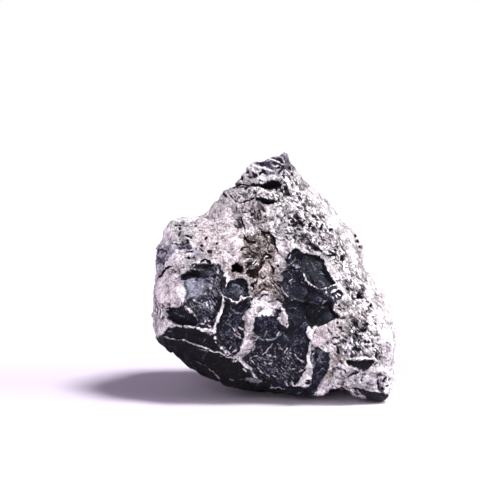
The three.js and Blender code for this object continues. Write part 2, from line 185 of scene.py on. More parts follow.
# Whole shards of calcite: outlines.
SHARDS = [
    [(5.4, 77.4), (8.2, 75), (9, 72), (9.8, 70.6), (11, 70), (10.4, 67.6), (10.4, 65.6),
     (11.8, 62.8), (9.6, 59.8), (8, 61.2), (5.4, 63.6), (4.6, 66.4), (3, 68), (4.4, 69.4),
     (4, 72.4)],
    [(-38.4, 103.4), (-36.2, 100.4), (-34.2, 98.4), (-35.8, 96), (-38.8, 92), (-37.8, 95.6),
     (-37.4, 99.4)],
    [(-31, 38), (-27, 37.4), (-23.6, 35), (-22, 32), (-19, 29.6), (-16.6, 27.6), (-18, 26.4),
     (-20.6, 27.4), (-23, 29.4), (-25.4, 32), (-28, 34.6)],
    [(-18, 26.2), (-15.4, 24.4), (-13.4, 22.8), (-14.8, 22), (-17.2, 23.6)],
    [(-84.6, 60.8), (-84, 65.4), (-80, 64.4), (-76, 62.8), (-71, 61.6), (-76, 61)],
    [(-17.4, 42), (-16, 46.6), (-14.4, 49.6), (-14.6, 47), (-16, 43)],
    [(25, 60.5), (26.5, 62), (28, 61), (28, 57.5), (26.4, 57)],
    [(17.6, 14.8), (21, 20.4), (23.6, 26), (26.6, 31.4), (29.6, 31), (29.4, 25), (28, 19.4),
     (27.6, 15), (26, 13.6), (20, 14.2)],
    [(33, 8.4), (37, 12), (37.4, 16.6), (42, 21), (43.4, 17), (42, 12), (40, 8), (37.6, 6),
     (34.6, 6.6)],
]

# White veins: half width, and the points along the middle.
VEINS = [
    (0.8, [(-38.4, 103.6), (-36.6, 100)]), (0.6, [(-43, 90.6), (-41, 88), (-40, 85)]),
    (1.1, [(-40, 85), (-39.6, 81), (-40.4, 77)]),
    (1.5, [(-40.4, 77), (-43, 72), (-45, 66), (-47, 60)]), (2.0, [(-46.4, 63), (-47.2, 56.4)]),
    (1.0, [(-47.4, 55), (-46.8, 52)]), (0.8, [(-46.4, 50.4), (-45.8, 49.6)]),
    (0.8, [(-45.2, 48.6), (-44.4, 47.2)]), (1.1, [(-42.8, 46), (-40.6, 44)]),
    (1.1, [(-41, 47), (-38, 43.8)]), (1.0, [(-40.8, 43.4), (-37, 40.8)]),
    (0.9, [(-37.8, 43), (-34.8, 40.8)]), (0.9, [(-36.6, 40), (-33.4, 39)]),
    (0.8, [(-33, 40.4), (-30, 43.6)]), (0.8, [(-35.4, 43.4), (-32.6, 46.4)]),
    (1.1, [(-44.4, 107), (-43.4, 103)]), (1.0, [(-45.4, 100.4), (-44.2, 99.4)]),
    (1.3, [(-49.8, 92.4), (-49, 90.6)]), (1.2, [(-54.6, 87), (-53.4, 86.6)]),
    (0.9, [(-49.4, 97.6), (-48.6, 97)]), (1.1, [(-64, 82.4), (-62.8, 81.4)]),
    (1.1, [(-53, 79.4), (-51.6, 77.8)]), (0.9, [(-49.4, 77), (-48.6, 75.6)]),
    (0.9, [(-40, 85.4), (-36.4, 83.4), (-33, 81.6), (-29, 82), (-22, 84.6), (-19, 85.5)]),
    (0.9, [(-88, 61.6), (-76, 61.4), (-70, 61)]), (1.2, [(-70, 61), (-66, 60.8), (-60, 60.2)]),
    (1.6, [(-60, 60.2), (-54, 59), (-48, 58)]), (0.5, [(-88, 52.8), (-84, 52), (-77, 50.6)]),
    (0.8, [(-77, 50.6), (-70, 50.2), (-66, 48), (-60, 46.8), (-54, 44.8), (-47, 41.6), (-41, 41),
        (-36, 37.6), (-32, 37), (-28, 39.6)]),
    (1.1, [(-62, 47.2), (-60, 46.8), (-54, 44.8)]),
    (0.45, [(-70, 78), (-65.4, 74.4), (-59.6, 69)]),
    (0.4, [(19.4, 106.8), (23, 102.8), (25, 99)]), (0.8, [(24.6, 99), (28, 94.4)]),
    (0.45, [(28.4, 95), (34, 91.6)]), (0.8, [(11.4, 115), (13, 118)]),
    (0.9, [(11.4, 97), (13.6, 99)]), (0.45, [(34, 92), (38, 90.4), (42, 91.2)]),
    (0.65, [(42, 91.2), (45, 92.4), (51, 95.4)]), (1.0, [(-35, 98), (-28, 101.5), (-21, 102)]),
    (1.8, [(-64.6, 107.2), (-61.4, 105.6)]), (0.7, [(-56.6, 111.8), (-53, 111.4)]),
    (0.6, [(-50, 107.6), (-49, 107)]), (1.5, [(28, 60), (28.2, 55), (29.4, 49)]),
    (2.3, [(28.4, 49), (27.2, 42), (26.8, 36)]), (1.5, [(27.6, 36), (28, 30)]),
    (0.9, [(56, 19.8), (60, 20.4), (64, 22.6), (68, 24.6), (72.6, 26.6), (77.4, 29.6),
        (82, 31.4)]),
    (1.0, [(56, 36.5), (66, 37), (78, 36), (83, 33)]),
    (0.8, [(55, 35.4), (56, 30), (62, 29), (66, 26.6)]),
    (1.2, [(-22, 106), (-18, 109), (-15.5, 113)]),
    (1.2, [(-17.5, 106.5), (-15, 110), (-12, 114.5)]),
    (1.0, [(-27, 112), (-22, 113), (-17, 114.5)]),
    (1.6, [(-86, 110), (-81.5, 115.4), (-76, 120.5), (-67, 121.4)]),
    (1.2, [(-84, 110), (-78, 113.5), (-74, 114)]),
    (0.7, [(-9, 158), (-3, 166), (4, 168), (10, 160)]),
    (0.6, [(-20, 164), (-12, 167), (-4, 167)]), (1.0, [(-4, 193.8), (1, 192.6), (7, 190)]),
    (0.7, [(4, 196.4), (7, 193.6), (8.8, 190.4)]), (0.6, [(-3, 189.6), (3, 188), (8, 187)]),
    (0.6, [(1.4, 184.8), (8, 186.4)]), (0.6, [(5.4, 182.4), (8, 185.6)]),
    (1.6, [(-22, 187), (-12, 187.2), (-3, 185.8), (2, 183.4)]),
    (0.7, [(5.6, 176), (7.6, 172), (8, 168)]), (0.8, [(4, 93), (7, 88.5), (11, 85)]),
    (0.9, [(-9.5, 113.5), (-8, 116), (-5.5, 117), (-4, 116.4)]),
    # broken calcite along the foot of the middle fragment, and slivers in it
    (0.9, [(-24.4, 28.6), (-21.6, 26)]), (0.9, [(-16.4, 23), (-13, 20.6)]),
    (0.8, [(-18, 34.6), (-15.4, 31.8)]), (0.8, [(-13, 28), (-9, 23.4)]),
    (0.9, [(-6, 22.4), (-3.8, 21.4)]), (0.9, [(-0.4, 22), (1.8, 21)]),
    (0.8, [(-8.4, 34.2), (-5.4, 31.2)]), (0.9, [(-3.8, 31.4), (-1, 32.8)]),
    (0.8, [(-17.4, 37.4), (-12.6, 38.2)]), (0.7, [(-5.4, 39), (-2.4, 38.4)]),
    (0.7, [(-0.8, 38.4), (1.8, 37.6)]), (0.7, [(-9, 39.4), (-6.6, 41), (-4, 45.4), (-0.6, 48.4)]),
    (0.5, [(1.8, 54.6), (5.4, 58.6)]), (0.7, [(-14.4, 51.4), (-11.2, 53.6)]),
    (0.7, [(14.4, 40.2), (18.6, 36.4), (23.6, 32.2)]),
    (0.7, [(14.4, 27.6), (17.6, 29.4), (20, 29.8)]), (0.8, [(23.6, 28.4), (26.8, 31.6)]),
    (0.7, [(19.6, 24.8), (22.6, 27.4)]), (0.6, [(10.8, 37.4), (12.2, 35.6)]),
    (0.6, [(7, 34.4), (8.4, 33)]), (0.6, [(6, 29.6), (7.6, 28)]), (0.6, [(1.8, 28), (4.2, 25)]),
    (0.6, [(8.4, 41.4), (10.6, 44.6)]), (0.5, [(2.8, 48.4), (7, 42)]),
    (0.7, [(9, 17.6), (11.4, 15)]), (0.8, [(14, 16.6), (17, 14.6)]),
    (0.6, [(-3, 12), (3, 12.8), (9, 11.6)]),
    # slivers in the tall fragment
    (0.9, [(-27.6, 61.6), (-23.8, 58)]), (0.8, [(-31, 56.6), (-28.8, 53.6)]),
    (0.7, [(-28.8, 57.2), (-26.8, 54.6)]), (0.8, [(-28.4, 53), (-25.4, 52)]),
    (0.6, [(-30, 59.8), (-28, 57.8)]), (0.6, [(-32.6, 60.4), (-30.6, 58)]),
    (0.6, [(24, 98), (27, 97)]), (1.0, [(44.4, 88), (49, 90)]), (0.9, [(50, 88), (52.4, 86)]),
    (0.8, [(48, 86), (50, 83.6)]), (0.8, [(45, 85.4), (46.6, 82.6)]),
    (0.7, [(-35, 19.4), (-32, 18.6)]), (1.0, [(-54.6, 65.2), (-54.2, 66)]),
    (0.9, [(-51.4, 65.8), (-51, 66.6)]), (1.2, [(-57.4, 63), (-54.8, 63.6)]),
    (1.0, [(-52.2, 62.6), (-50, 61.4)]),
    (0.5, [(-64, 34), (-58, 32), (-53, 29), (-49.6, 26.4), (-46, 23.6), (-43, 18.6)]),
    (0.8, [(-87, 74), (-80, 75.5), (-73, 79)]),
]

# Rims of broken limestone that catch the light: half width, and the points along them.
RIMS = [
    (0.6, [(9, 108), (14, 107.6), (18, 106), (21, 108)]),
    (0.6, [(11, 110), (14, 112.6), (17, 111), (21, 109.5)]),
    (0.7, [(14, 109.6), (17, 108.8), (20, 106.8)]),
    (0.6, [(12, 85), (18, 82.8), (25, 80.8), (32, 80.4), (37, 79.4)]),
    (0.5, [(11, 75.4), (15, 76.6), (19, 75.4)]),
    (0.5, [(29, 71), (31, 74.5), (36, 76.5), (43, 77)]), (0.5, [(29, 70), (32, 72), (35, 70)]),
    (0.6, [(37, 80.5), (41, 82), (45, 87)]),
    (0.5, [(34, 103), (38, 103.5), (41, 102), (44, 103)]),
    (0.5, [(24, 118), (30, 112), (33, 104)]),
    (0.6, [(-16, 58), (-14, 53.6), (-8, 51), (0, 52), (4.6, 56.5)]),
    (0.5, [(-19, 42), (-10, 36), (-2, 35)]), (0.5, [(-40, 66), (-34, 62), (-30, 55), (-31, 47)]),
    (0.5, [(-37, 78), (-30, 73), (-24, 72)]), (0.6, [(-71, 96), (-64, 93), (-58, 88), (-52, 86)]),
    (0.6, [(-66, 83), (-58, 80), (-50, 76)]), (0.5, [(-36, 92), (-30, 95), (-25, 92), (-24, 88)]),
    (0.5, [(-80, 72), (-74, 70), (-67, 66)]), (0.5, [(-92, 45), (-78, 42), (-66, 38), (-52, 32)]),
    (0.5, [(-84, 40), (-70, 34), (-58, 27)]), (0.5, [(34, 36), (38, 33), (42, 34)]),
    (0.5, [(35, 25), (38, 28), (41, 26)]),
]

# Each patch in the lists that follow is given by how strong it is, how soft its edge is in
# millimetres, and its outline. First the bands of calcite and smooth plates.
CREAM = [
    (1.0, 1.5, [(-62, 112), (-64, 132), (-61, 144), (-54, 150), (-44, 155), (-32, 157),
        (-32, 150), (-30, 143), (-24, 137), (-23, 133), (-24, 125), (-26, 120), (-27, 114),
        (-33, 110), (-42, 111), (-50, 114)]),
    (0.8, 1.0, [(-92, 79), (-93, 96), (-88, 104), (-80, 107), (-74, 101), (-73, 90), (-75, 80),
        (-82, 77)]),
    (0.8, 1.0, [(-91, 131), (-90, 139), (-85, 141), (-80, 138), (-78, 134), (-79, 130)]),
    (0.35, 1.2, [(-18, 72), (-18, 80), (-8, 86), (2, 85), (8, 80), (8, 72), (4, 70), (-9, 70)]),
    (0.4, 0.8, [(-15, 76), (-17, 70), (-17, 62), (-18, 55), (-18, 48), (-23, 40), (-30, 35),
        (-32, 37), (-27, 43), (-24, 50), (-23.5, 58), (-23, 66), (-22, 74)]),
    (0.4, 0.8, [(4, 73), (7, 74.5), (10, 70), (12, 66), (13, 62), (10, 58), (6, 62), (5, 66)]),
    (0.9, 1.5, [(28, 45), (28, 58), (33, 61), (42, 62), (52, 66), (60, 65), (58, 56), (48, 50),
        (45, 45), (36, 46)]),
    (0.8, 1.0, [(-87, 108), (-80, 118), (-71, 121), (-68, 115), (-78, 108)]),
]

# Iron-stained parts of the crust, and blue-grey ones.
TAN = [
    (0.9, 1.5, [(45, 32.6), (45, 38), (50, 40), (56, 37), (55, 33)]),
    (0.9, 1.2, [(41, 21), (42, 27), (46, 26), (46.4, 21)]),
    (1.0, 2.5, [(-27, 112), (-26, 121), (-18, 123), (-10, 121), (-8, 113)]),
    (1.0, 2, [(-35, 101), (-35, 112), (-26, 112), (-9, 114), (-9, 100), (-22, 102)]),
    (0.3, 3, [(50, 66), (50, 82), (62, 82), (75, 72), (74, 62)]),
    (0.75, 5, [(-26, 113), (-25, 132), (-14, 138), (-2, 136), (4, 124), (3, 112), (-10, 108)]),
    (0.75, 2.5, [(-18, 84), (-18, 106), (-10, 114), (2, 112), (5, 100), (7, 88), (9, 80),
        (4, 80.5), (-1, 84.5), (-8, 88), (-13, 86)]),
    (0.25, 5, [(-58, 117), (-58, 134), (-47, 136), (-44, 120)]),
    (0.4, 5, [(-36, 101), (-36, 113), (-10, 113), (-10, 99)]),
    (0.35, 4, [(28, 151), (30, 158), (38, 157), (38, 151)]),
    (0.25, 5, [(-34, 140), (-30, 168), (0, 160), (6, 140), (-14, 138)]),
]
BLUE = [
    (1.0, 3, [(-16, 188), (-14, 191), (-8, 193), (4, 202), (14, 202), (18, 190), (8, 183),
        (-6, 181)]),
    (0.8, 2, [(-95, 120), (-95, 126.6), (-78, 127.4), (-70, 129), (-64, 124), (-55, 119),
        (-55, 114), (-64, 113), (-66, 120), (-75, 121.5), (-84, 118)]),
    (1.0, 1.5, [(-94, 110), (-95, 120), (-87, 121.5), (-84, 117), (-87, 110)]),
    (0.5, 4, [(4, 92), (2, 108), (5, 120), (9, 120), (9, 108), (5, 95)]),
    (0.35, 3, [(62, 10), (66, 20), (86, 27), (88, 20), (85, 8)]),
    (0.4, 2.5, [(55, 37), (57, 50), (60, 58), (70, 60), (72, 50), (72, 38), (66, 36)]),
]

# How pitted the crust is, and where it is smooth.
PITTED = [
    (1.0, 6, [(12, 192), (34, 158), (52, 142), (66, 112), (80, 84), (82, 40), (76, 36), (56, 38),
        (46, 46), (60, 66), (56, 90), (46, 110), (28, 126), (8, 126), (4, 150), (-6, 170)]),
    (0.8, 6, [(-26, 113), (-34, 160), (-10, 180), (6, 170), (6, 126), (4, 84), (-18, 84)]),
]
SMOOTH = [
    (0.85, 4, [(-64, 110), (-66, 140), (-50, 154), (-30, 158), (-24, 133), (-27, 113),
        (-42, 109)]),
    (0.7, 3, [(-92, 79), (-93, 98), (-80, 107), (-74, 101), (-75, 80)]),
    (0.6, 3, [(-18, 72), (-16, 82), (2, 86), (8, 80), (4, 70), (-9, 70)]),
    (0.85, 3, [(62, 12), (66, 18), (84, 26), (88, 18), (85, 9)]),
    (0.85, 2, [(28, 45), (26, 60), (36, 64), (48, 66), (50, 58), (44, 52), (36, 46)]),
]

# Cracks: depth, half width, and the points along them.
CRACKS = [
    # round the brown block and the creased column under it
    (2.8, 1.5, [(-12, 140), (-9, 136), (-7, 134.5), (-4.5, 136), (-2, 133), (0.5, 129), (1, 124),
        (3, 120.5), (5, 118.5)]),
    (2.4, 1.6, [(-24, 134), (-22.5, 130.5), (-19.5, 128), (-15, 127.5), (-12, 129)]),
    (2.0, 1.2, [(-26, 148), (-24, 142), (-23, 136)]),
    (1.8, 1.2, [(-27, 121), (-24, 124), (-20.5, 125)]),
    (1.6, 1.0, [(-26.5, 119), (-24, 119.5), (-22, 118), (-20, 119.5), (-18, 117)]),
    (1.6, 1.0, [(-25, 116), (-21, 114.7), (-17, 116.5), (-13, 116)]),
    (1.4, 0.9, [(-20, 125), (-19, 122), (-15, 119), (-12, 117)]),
    (1.4, 0.8, [(-7, 133), (-5, 129), (-3, 126)]),
    (1.4, 0.8, [(-4, 134), (-2, 130), (-1.5, 127)]), (1.2, 1.0, [(-13, 123), (-12, 123.5)]),
    (2.2, 1.5, [(-11, 111), (-9, 116.5), (-6, 118.6), (-3, 117.5), (-2.5, 116), (-6, 115.5),
        (-9.5, 112)]),
    (2.8, 1.7, [(-23, 107.5), (-20, 110), (-17, 112)]), (2.4, 1.2, [(-18, 108.5), (-14, 113)]),
    (3.0, 2.0, [(-13, 100), (-13, 104), (-10.5, 110), (-7, 113.5)]),
    (2.6, 1.8, [(-24, 103), (-19, 102), (-13.5, 100)]),
    (2.0, 1.3, [(-3, 110.5), (-1, 108), (-0.3, 105), (-0.5, 102)]),
    (2.0, 1.3, [(-13, 101), (-14.5, 97), (-17.5, 95), (-16, 91.5), (-18.5, 88.5)]),
    (1.8, 1.2, [(-17, 85), (-18, 81)]), (1.6, 0.9, [(-12, 101.5), (-9, 99.5), (-6.5, 102)]),
    (1.4, 0.9, [(-15, 86), (-11, 89), (-8, 91), (-5, 90)]),
    (1.4, 0.8, [(-13, 92.5), (-9, 95), (-5, 93.5), (-2, 92)]),
    (1.4, 0.8, [(-4, 98), (-1, 95), (1, 92), (4, 89)]),
    (1.6, 1.0, [(-13, 82.5), (-10, 86), (-7, 87.5), (-3, 85.5)]),
    (1.4, 0.8, [(2, 99), (3, 95), (5, 91)]), (1.8, 1.2, [(0, 84), (4, 82), (8, 79)]),
    (1.4, 0.9, [(2, 110), (4, 108.5)]),
    # round the upper plates
    (1.8, 1.0, [(8, 106), (13, 107.5), (20, 106.5), (24, 104)]),
    (2.4, 1.5, [(10, 82), (19, 80.5), (27, 80), (34, 78.5), (40, 84)]),
    (2.0, 1.4, [(1.4, 75.4), (3.6, 73.4)]), (1.2, 0.9, [(7.6, 78.4), (10, 79.6)]),
    # the left end
    (1.4, 1.1, [(-66, 109), (-63, 110.6), (-60, 110)]),
    (1.8, 1.2, [(-58.4, 111.4), (-57, 113.4), (-54, 114.2), (-51, 112.6), (-47.6, 109.8)]),
    (1.4, 1.0, [(-62, 107), (-59, 105.6)]),
    (2.2, 1.5, [(-92.5, 98), (-89, 102.5), (-86, 106), (-83.5, 108), (-78, 110)]),
    (1.6, 0.9, [(-88.5, 107), (-86, 109.5)]), (1.4, 0.9, [(-81, 106), (-77, 104)]),
    (1.6, 1.0, [(-95, 119), (-91, 121.5), (-87, 121), (-84.5, 118)]),
    (1.8, 1.1, [(-84, 115), (-87, 111), (-89, 109)]), (1.4, 0.9, [(-82.5, 118.5), (-80, 116.5)]),
    (0.8, 0.7, [(-82, 128), (-79.5, 126), (-74, 126), (-68, 127)]),
    (0.8, 0.7, [(-76, 122.5), (-71, 124), (-65.5, 122.8)]),
    (1.6, 1.1, [(-70, 131), (-68, 128.6), (-65.6, 126)]),
    (1.4, 1.0, [(-71.6, 134.2), (-67, 132.8), (-64.4, 131.2)]),
    (1.4, 0.9, [(-76, 131), (-75, 134), (-73.5, 137)]),
    (1.4, 1.1, [(-81, 141.5), (-76, 141.5), (-72, 140.8)]),
    (1.4, 1.1, [(-76.6, 139), (-73.4, 139)]), (1.4, 1.0, [(-59, 123.6), (-55, 119.8)]),
    (1.6, 1.2, [(-67.4, 119.6), (-62.4, 120.8)]), (1.4, 1.0, [(-64, 139), (-61.4, 141.4)]),
    (1.2, 1.0, [(-77.6, 100.4), (-76.8, 98.2)]), (2.4, 1.7, [(-85, 75), (-79, 76), (-74, 76.6)]),
    # the tip
    (2.8, 1.5, [(-38, 164.6), (-34, 168), (-29, 171), (-25, 172.8), (-20, 172.6), (-15, 173.6),
        (-12, 172.4), (-8, 171)]),
    (2.4, 2.2, [(-13.6, 172.8), (-7, 172.6)]), (2.0, 1.6, [(-20.6, 161.6), (-14, 162)]),
    (1.0, 0.7, [(-34, 166.6), (-28, 169.6), (-20, 170.6), (-15, 171.4)]),
    (2.0, 1.2, [(-38, 165), (-35, 162)]), (1.2, 0.8, [(-34, 165), (-31, 161.6), (-27, 157.6)]),
    (1.8, 1.2, [(-27, 159), (-22, 161), (-17, 162), (-14, 161.6)]),
    (1.2, 0.9, [(9.6, 173), (11, 170), (12.8, 166)]),
    (1.0, 1.1, [(1, 186.4), (5, 186.8), (8.4, 187.3)]),
    (1.0, 1.0, [(3, 183), (6, 184.8), (8.4, 186.8)]), (1.0, 1.0, [(7.4, 182), (8.6, 185.4)]),
    (1.4, 1.2, [(8, 196.4), (10.8, 191.6)]), (1.4, 1.2, [(12, 188.8), (14.4, 184.8)]),
    (1.2, 1.1, [(14, 184), (17.6, 179.4)]), (1.4, 1.4, [(-20, 180.2), (-17, 180.2)]),
    (1.4, 2.1, [(-17, 180.6), (-13, 182)]),
    (1.2, 1.9, [(-12.4, 182.8), (-9, 183.6), (-5.4, 184)]),
    (1.6, 1.4, [(-25.4, 176.6), (-22.6, 179)]), (1.4, 1.3, [(-21, 182), (-19, 184.4)]),
    (1.0, 0.8, [(-11, 179.6), (-11, 177), (-8.6, 176), (-7.4, 178)]),
    (1.4, 1.0, [(15.5, 181.5), (18, 179)]), (1.4, 0.9, [(7, 182), (9, 180)]),
    (1.2, 0.8, [(-9, 179), (-6.5, 178.5)]), (1.4, 0.8, [(-10, 156), (-13, 150), (-12, 143)]),
    # beside the pale shard
    (1.6, 2.2, [(14, 68.6), (13, 65.8), (14, 63.2), (13, 60)]),
    # the right flank and the foot
    (2.2, 1.5, [(57.4, 93), (59.4, 89.4)]), (2.0, 1.3, [(61.8, 98.4), (60, 94)]),
    (1.4, 1.0, [(65, 90.6), (66.2, 88)]), (2.0, 1.4, [(22, 157), (25, 154.6), (28, 151)]),
    (1.8, 1.2, [(30, 150.4), (34.4, 146.4)]),
    (2.0, 1.5, [(41, 118.6), (46, 117), (48.6, 118.6), (51, 116)]),
    (2.0, 1.4, [(37, 137), (39, 142.8)]), (2.0, 1.4, [(30, 139.8), (35.4, 137)]),
    (1.8, 1.3, [(43, 136.8), (47, 138)]), (1.6, 1.0, [(62.4, 66), (65, 63.4), (68.6, 59.2)]),
    (1.0, 0.8, [(65.7, 59.7), (68.3, 56.5)]), (1.4, 1.2, [(63.4, 56.2), (66.1, 53.4)]),
    (0.8, 0.6, [(62.4, 50.8), (64, 51.8), (67, 50.8), (68.2, 48.4), (67.8, 46.8)]),
    (1.2, 0.9, [(42, 60.4), (43.4, 57.4), (45.6, 54.6)]),
    (1.6, 1.3, [(51.4, 61.5), (53.6, 59.2)]),
    (1.4, 0.9, [(44.6, 51), (46.4, 53), (50, 52.4), (53, 53)]),
    (1.2, 0.8, [(44.8, 50), (46.6, 48), (50, 47.8)]),
    (1.6, 1.4, [(24.4, 18.6), (25.4, 20.2), (27.2, 20.2), (28, 18.6), (27, 17.2), (25.2, 17.2),
        (24.4, 18.6)]),
    (2.0, 1.5, [(49.2, 46), (49.8, 42.6), (51.4, 39.6)]),
    (1.8, 1.2, [(78.4, 45), (80.6, 41.6), (80.2, 38.6), (81.4, 35.4)]),
    (1.0, 0.8, [(76.8, 43), (79, 40)]), (1.6, 1.2, [(82.6, 9), (82.8, 15), (82.2, 20.6)]),
    (1.6, 1.2, [(86.4, 17), (88.6, 22)]), (1.6, 1.2, [(62, 13), (69, 11), (75, 8.6)]),
    (1.4, 1.0, [(68.2, 19.4), (70.2, 17.8)]), (1.2, 1.0, [(54.6, 28.8), (57.4, 24.8)]),
    (1.2, 1.0, [(56.6, 21.6), (60, 22.8), (64, 24.6), (67, 26)]),
    (0.8, 0.7, [(69, 26), (74, 27.4), (77.6, 30.4), (81.4, 33)]),
]

# Small round pits and dark specks: radius and the places.
SPECKS = [
    (1.5, [(56, 49.4), (70.5, 124), (68, 129), (67, 133), (29.5, 142), (73, 63)]),
    (1.9, [(4.4, 74)]), (2.0, [(26, 17.8)]),
    (1.3, [(80, 63), (76.6, 77.6), (72.4, 58.6), (49, 121.6), (49.6, 64), (74.2, 49.2),
        (71.3, 49.8), (78.2, 46.4)]),
    (1.1, [(36.8, 126.6), (37.2, 121)]),
    (0.9, [(9.6, 63.8), (59.5, 54.2), (62, 54.6), (50.4, 49.4), (47, 47.6), (60.2, 48.4),
        (55, 58)]),
    (1.3, [(-54, 131), (-57, 125.6), (-45, 126.6), (-51.6, 120.6), (-50, 120.6), (89, 14),
        (91, 19), (86, 12), (-84.4, 144), (-88.6, 141.6)]),
]

# Fragments buried in the sides, the back and the top, as in the solid: count, seed, the corner
# and the size of the box that their middles fall in, how far their boundaries bend, the
# deepest, the steepest, and the share that is pale.
BURIED_COUNT = 130
BURIED_SEED = 7
BURIED_CORNER_MM = (-105, -70, -5)
BURIED_BOX_MM = (210, 155, 205)
BURIED_BEND_MM = 3.0
BURIED_SINK_MM = 4.6
BURIED_TILT = 0.16
PALE_SHARE = 0.45

# Where the crust is eaten down to dirty purple-grey stone, and, under the arch, painted shadow.
BRUISED = [
    (1.0, 1.5, [(6.6, 174), (9, 174), (13, 170), (15, 165), (12, 163), (8, 164), (7, 169)]),
    (0.5, 3, [(-18, 142), (-18, 157), (-8, 157), (-5, 142)]),
    (1.0, 2, [(20, 136), (26, 134), (28.6, 128.4), (33, 127), (38, 122), (37, 120), (33, 120),
        (28, 121), (25, 124), (23, 128)]),
    (0.9, 2, [(10, 139), (11, 143), (13, 147), (15, 150.6), (19, 150.6), (21, 146.6), (25, 143),
        (26, 139.6)]),
    (0.8, 2, [(44, 82), (46, 89), (52, 90), (53, 86), (51, 81)]),
    (0.9, 1, [(55, 40.4), (56, 44), (58.4, 44.6), (60.4, 43), (62.3, 42), (61.8, 40)]),
    (0.5, 1, [(62.4, 50.8), (64, 51.8), (67, 50.8), (68.2, 48.4), (67.8, 46.8), (63, 46.8)]),
    (0.7, 1.5, [(82, 8), (82, 19), (86, 22), (87.4, 12), (86, 6)]),
    (0.5, 1, [(58, 20), (60, 28), (65, 27), (68, 25), (63, 22)]),
    (0.6, 1, [(58.6, 61), (61.6, 63.4), (62.8, 65.6), (67, 61.4), (67, 59.8), (60, 59.8)]),
    # under the arch: painted shadow in the purple-grey of the floor's shade
    (0.5, 0.8, [(41, -4), (41.4, 10.6), (45, 14), (50, 16.5), (57, 17), (61, 15), (65, 12),
        (73, 5), (82, -4)]),
    (0.8, 1.2, [(44, 27), (46, 30), (52, 30), (56, 27.6), (50, 26)]),
    (0.5, 4, [(-30, 160), (-26, 168), (-14, 168), (-16, 158)]),
    (0.6, 3, [(-94, 84), (-96, 70), (-89, 64), (-88, 78)]),
    (0.6, 1.5, [(-21, 176), (-20.6, 179.6), (-16, 180), (-15.6, 176.4)]),
    (0.6, 1.5, [(-94, 110), (-94, 120), (-87, 121), (-85, 116), (-88, 110)]),
    (0.6, 1.5, [(-77, 121.5), (-71, 125), (-65, 124), (-66, 121.5), (-72, 121)]),
    (0.8, 2, [(-31, 140), (-31, 147), (-26, 149), (-24, 142), (-24, 138)]),
    (0.7, 1.5, [(2.6, 84), (4, 92), (8, 90), (10.6, 84), (6, 81)]),
    (0.6, 1.5, [(0, 71), (0, 77), (8, 80), (9, 75), (4, 71)]),
    (0.45, 2.5, [(47, 74), (48, 83), (56, 84), (60, 78), (57, 71)]),
    (0.35, 4, [(-12, 184), (-8, 195), (4, 202), (12, 202), (18, 190), (8, 184)]),
    (0.6, 3, [(78, 34), (82, 46), (86, 42), (82, 32)]),
]

# Where the limestone is full of calcite grains.
FLECKED = [
    (1.4, 3, [(-54, 84), (-56, 96), (-48, 108), (-42, 108), (-40, 92), (-42, 82)]),
    (1.2, 2.5, [(-70, 74), (-71, 84), (-58, 84), (-46, 83), (-44, 76), (-58, 72)]),
    (0.85, 3, [(-26, 38), (-16, 44), (6, 48), (22, 44), (26, 26), (18, 15), (-8, 16), (-24, 30)]),
    (0.5, 3, [(-24, 36), (-16, 42), (0, 40), (6, 24), (-4, 16), (-14, 20)]),
    (0.8, 3, [(-62, 60), (-62, 76), (-50, 90), (-54, 98), (-42, 104), (-40, 88), (-46, 66)]),
    (0.8, 2, [(-35, 52), (-33, 62), (-25, 64), (-24, 54)]),
    (0.8, 3, [(-45, 48), (-46, 62), (-40, 66), (-34, 56), (-28, 44), (-34, 39), (-40, 42)]),
    (0.7, 2, [(12, 105), (11, 114), (20, 115), (25, 104)]),
    (0.5, 2, [(-14, 54), (-14, 64), (-4, 68), (4, 62), (0, 54)]),
    (3.0, 1.2, [(-28, 18.8), (-20, 20), (-13, 20), (-9.4, 17.6), (-11, 15.8), (-15, 16),
        (-21, 17.4)]),
    (0.6, 3, [(7, 92), (9, 107), (20, 105), (24, 96), (18, 93)]),
]

# Where the light rakes the limestone and it looks greyer.
RAKED = [
    (2.7, 3, [(-76, 84), (-76, 99), (-60, 100), (-54, 98), (-52, 93), (-55, 87), (-62, 84)]),
    (0.6, 5, [(-34, 84), (-33, 95), (-25, 97), (-24, 87)]),
    (0.35, 5, [(22, 100), (28, 114), (38, 112), (46, 98), (38, 93), (28, 96)]),
]
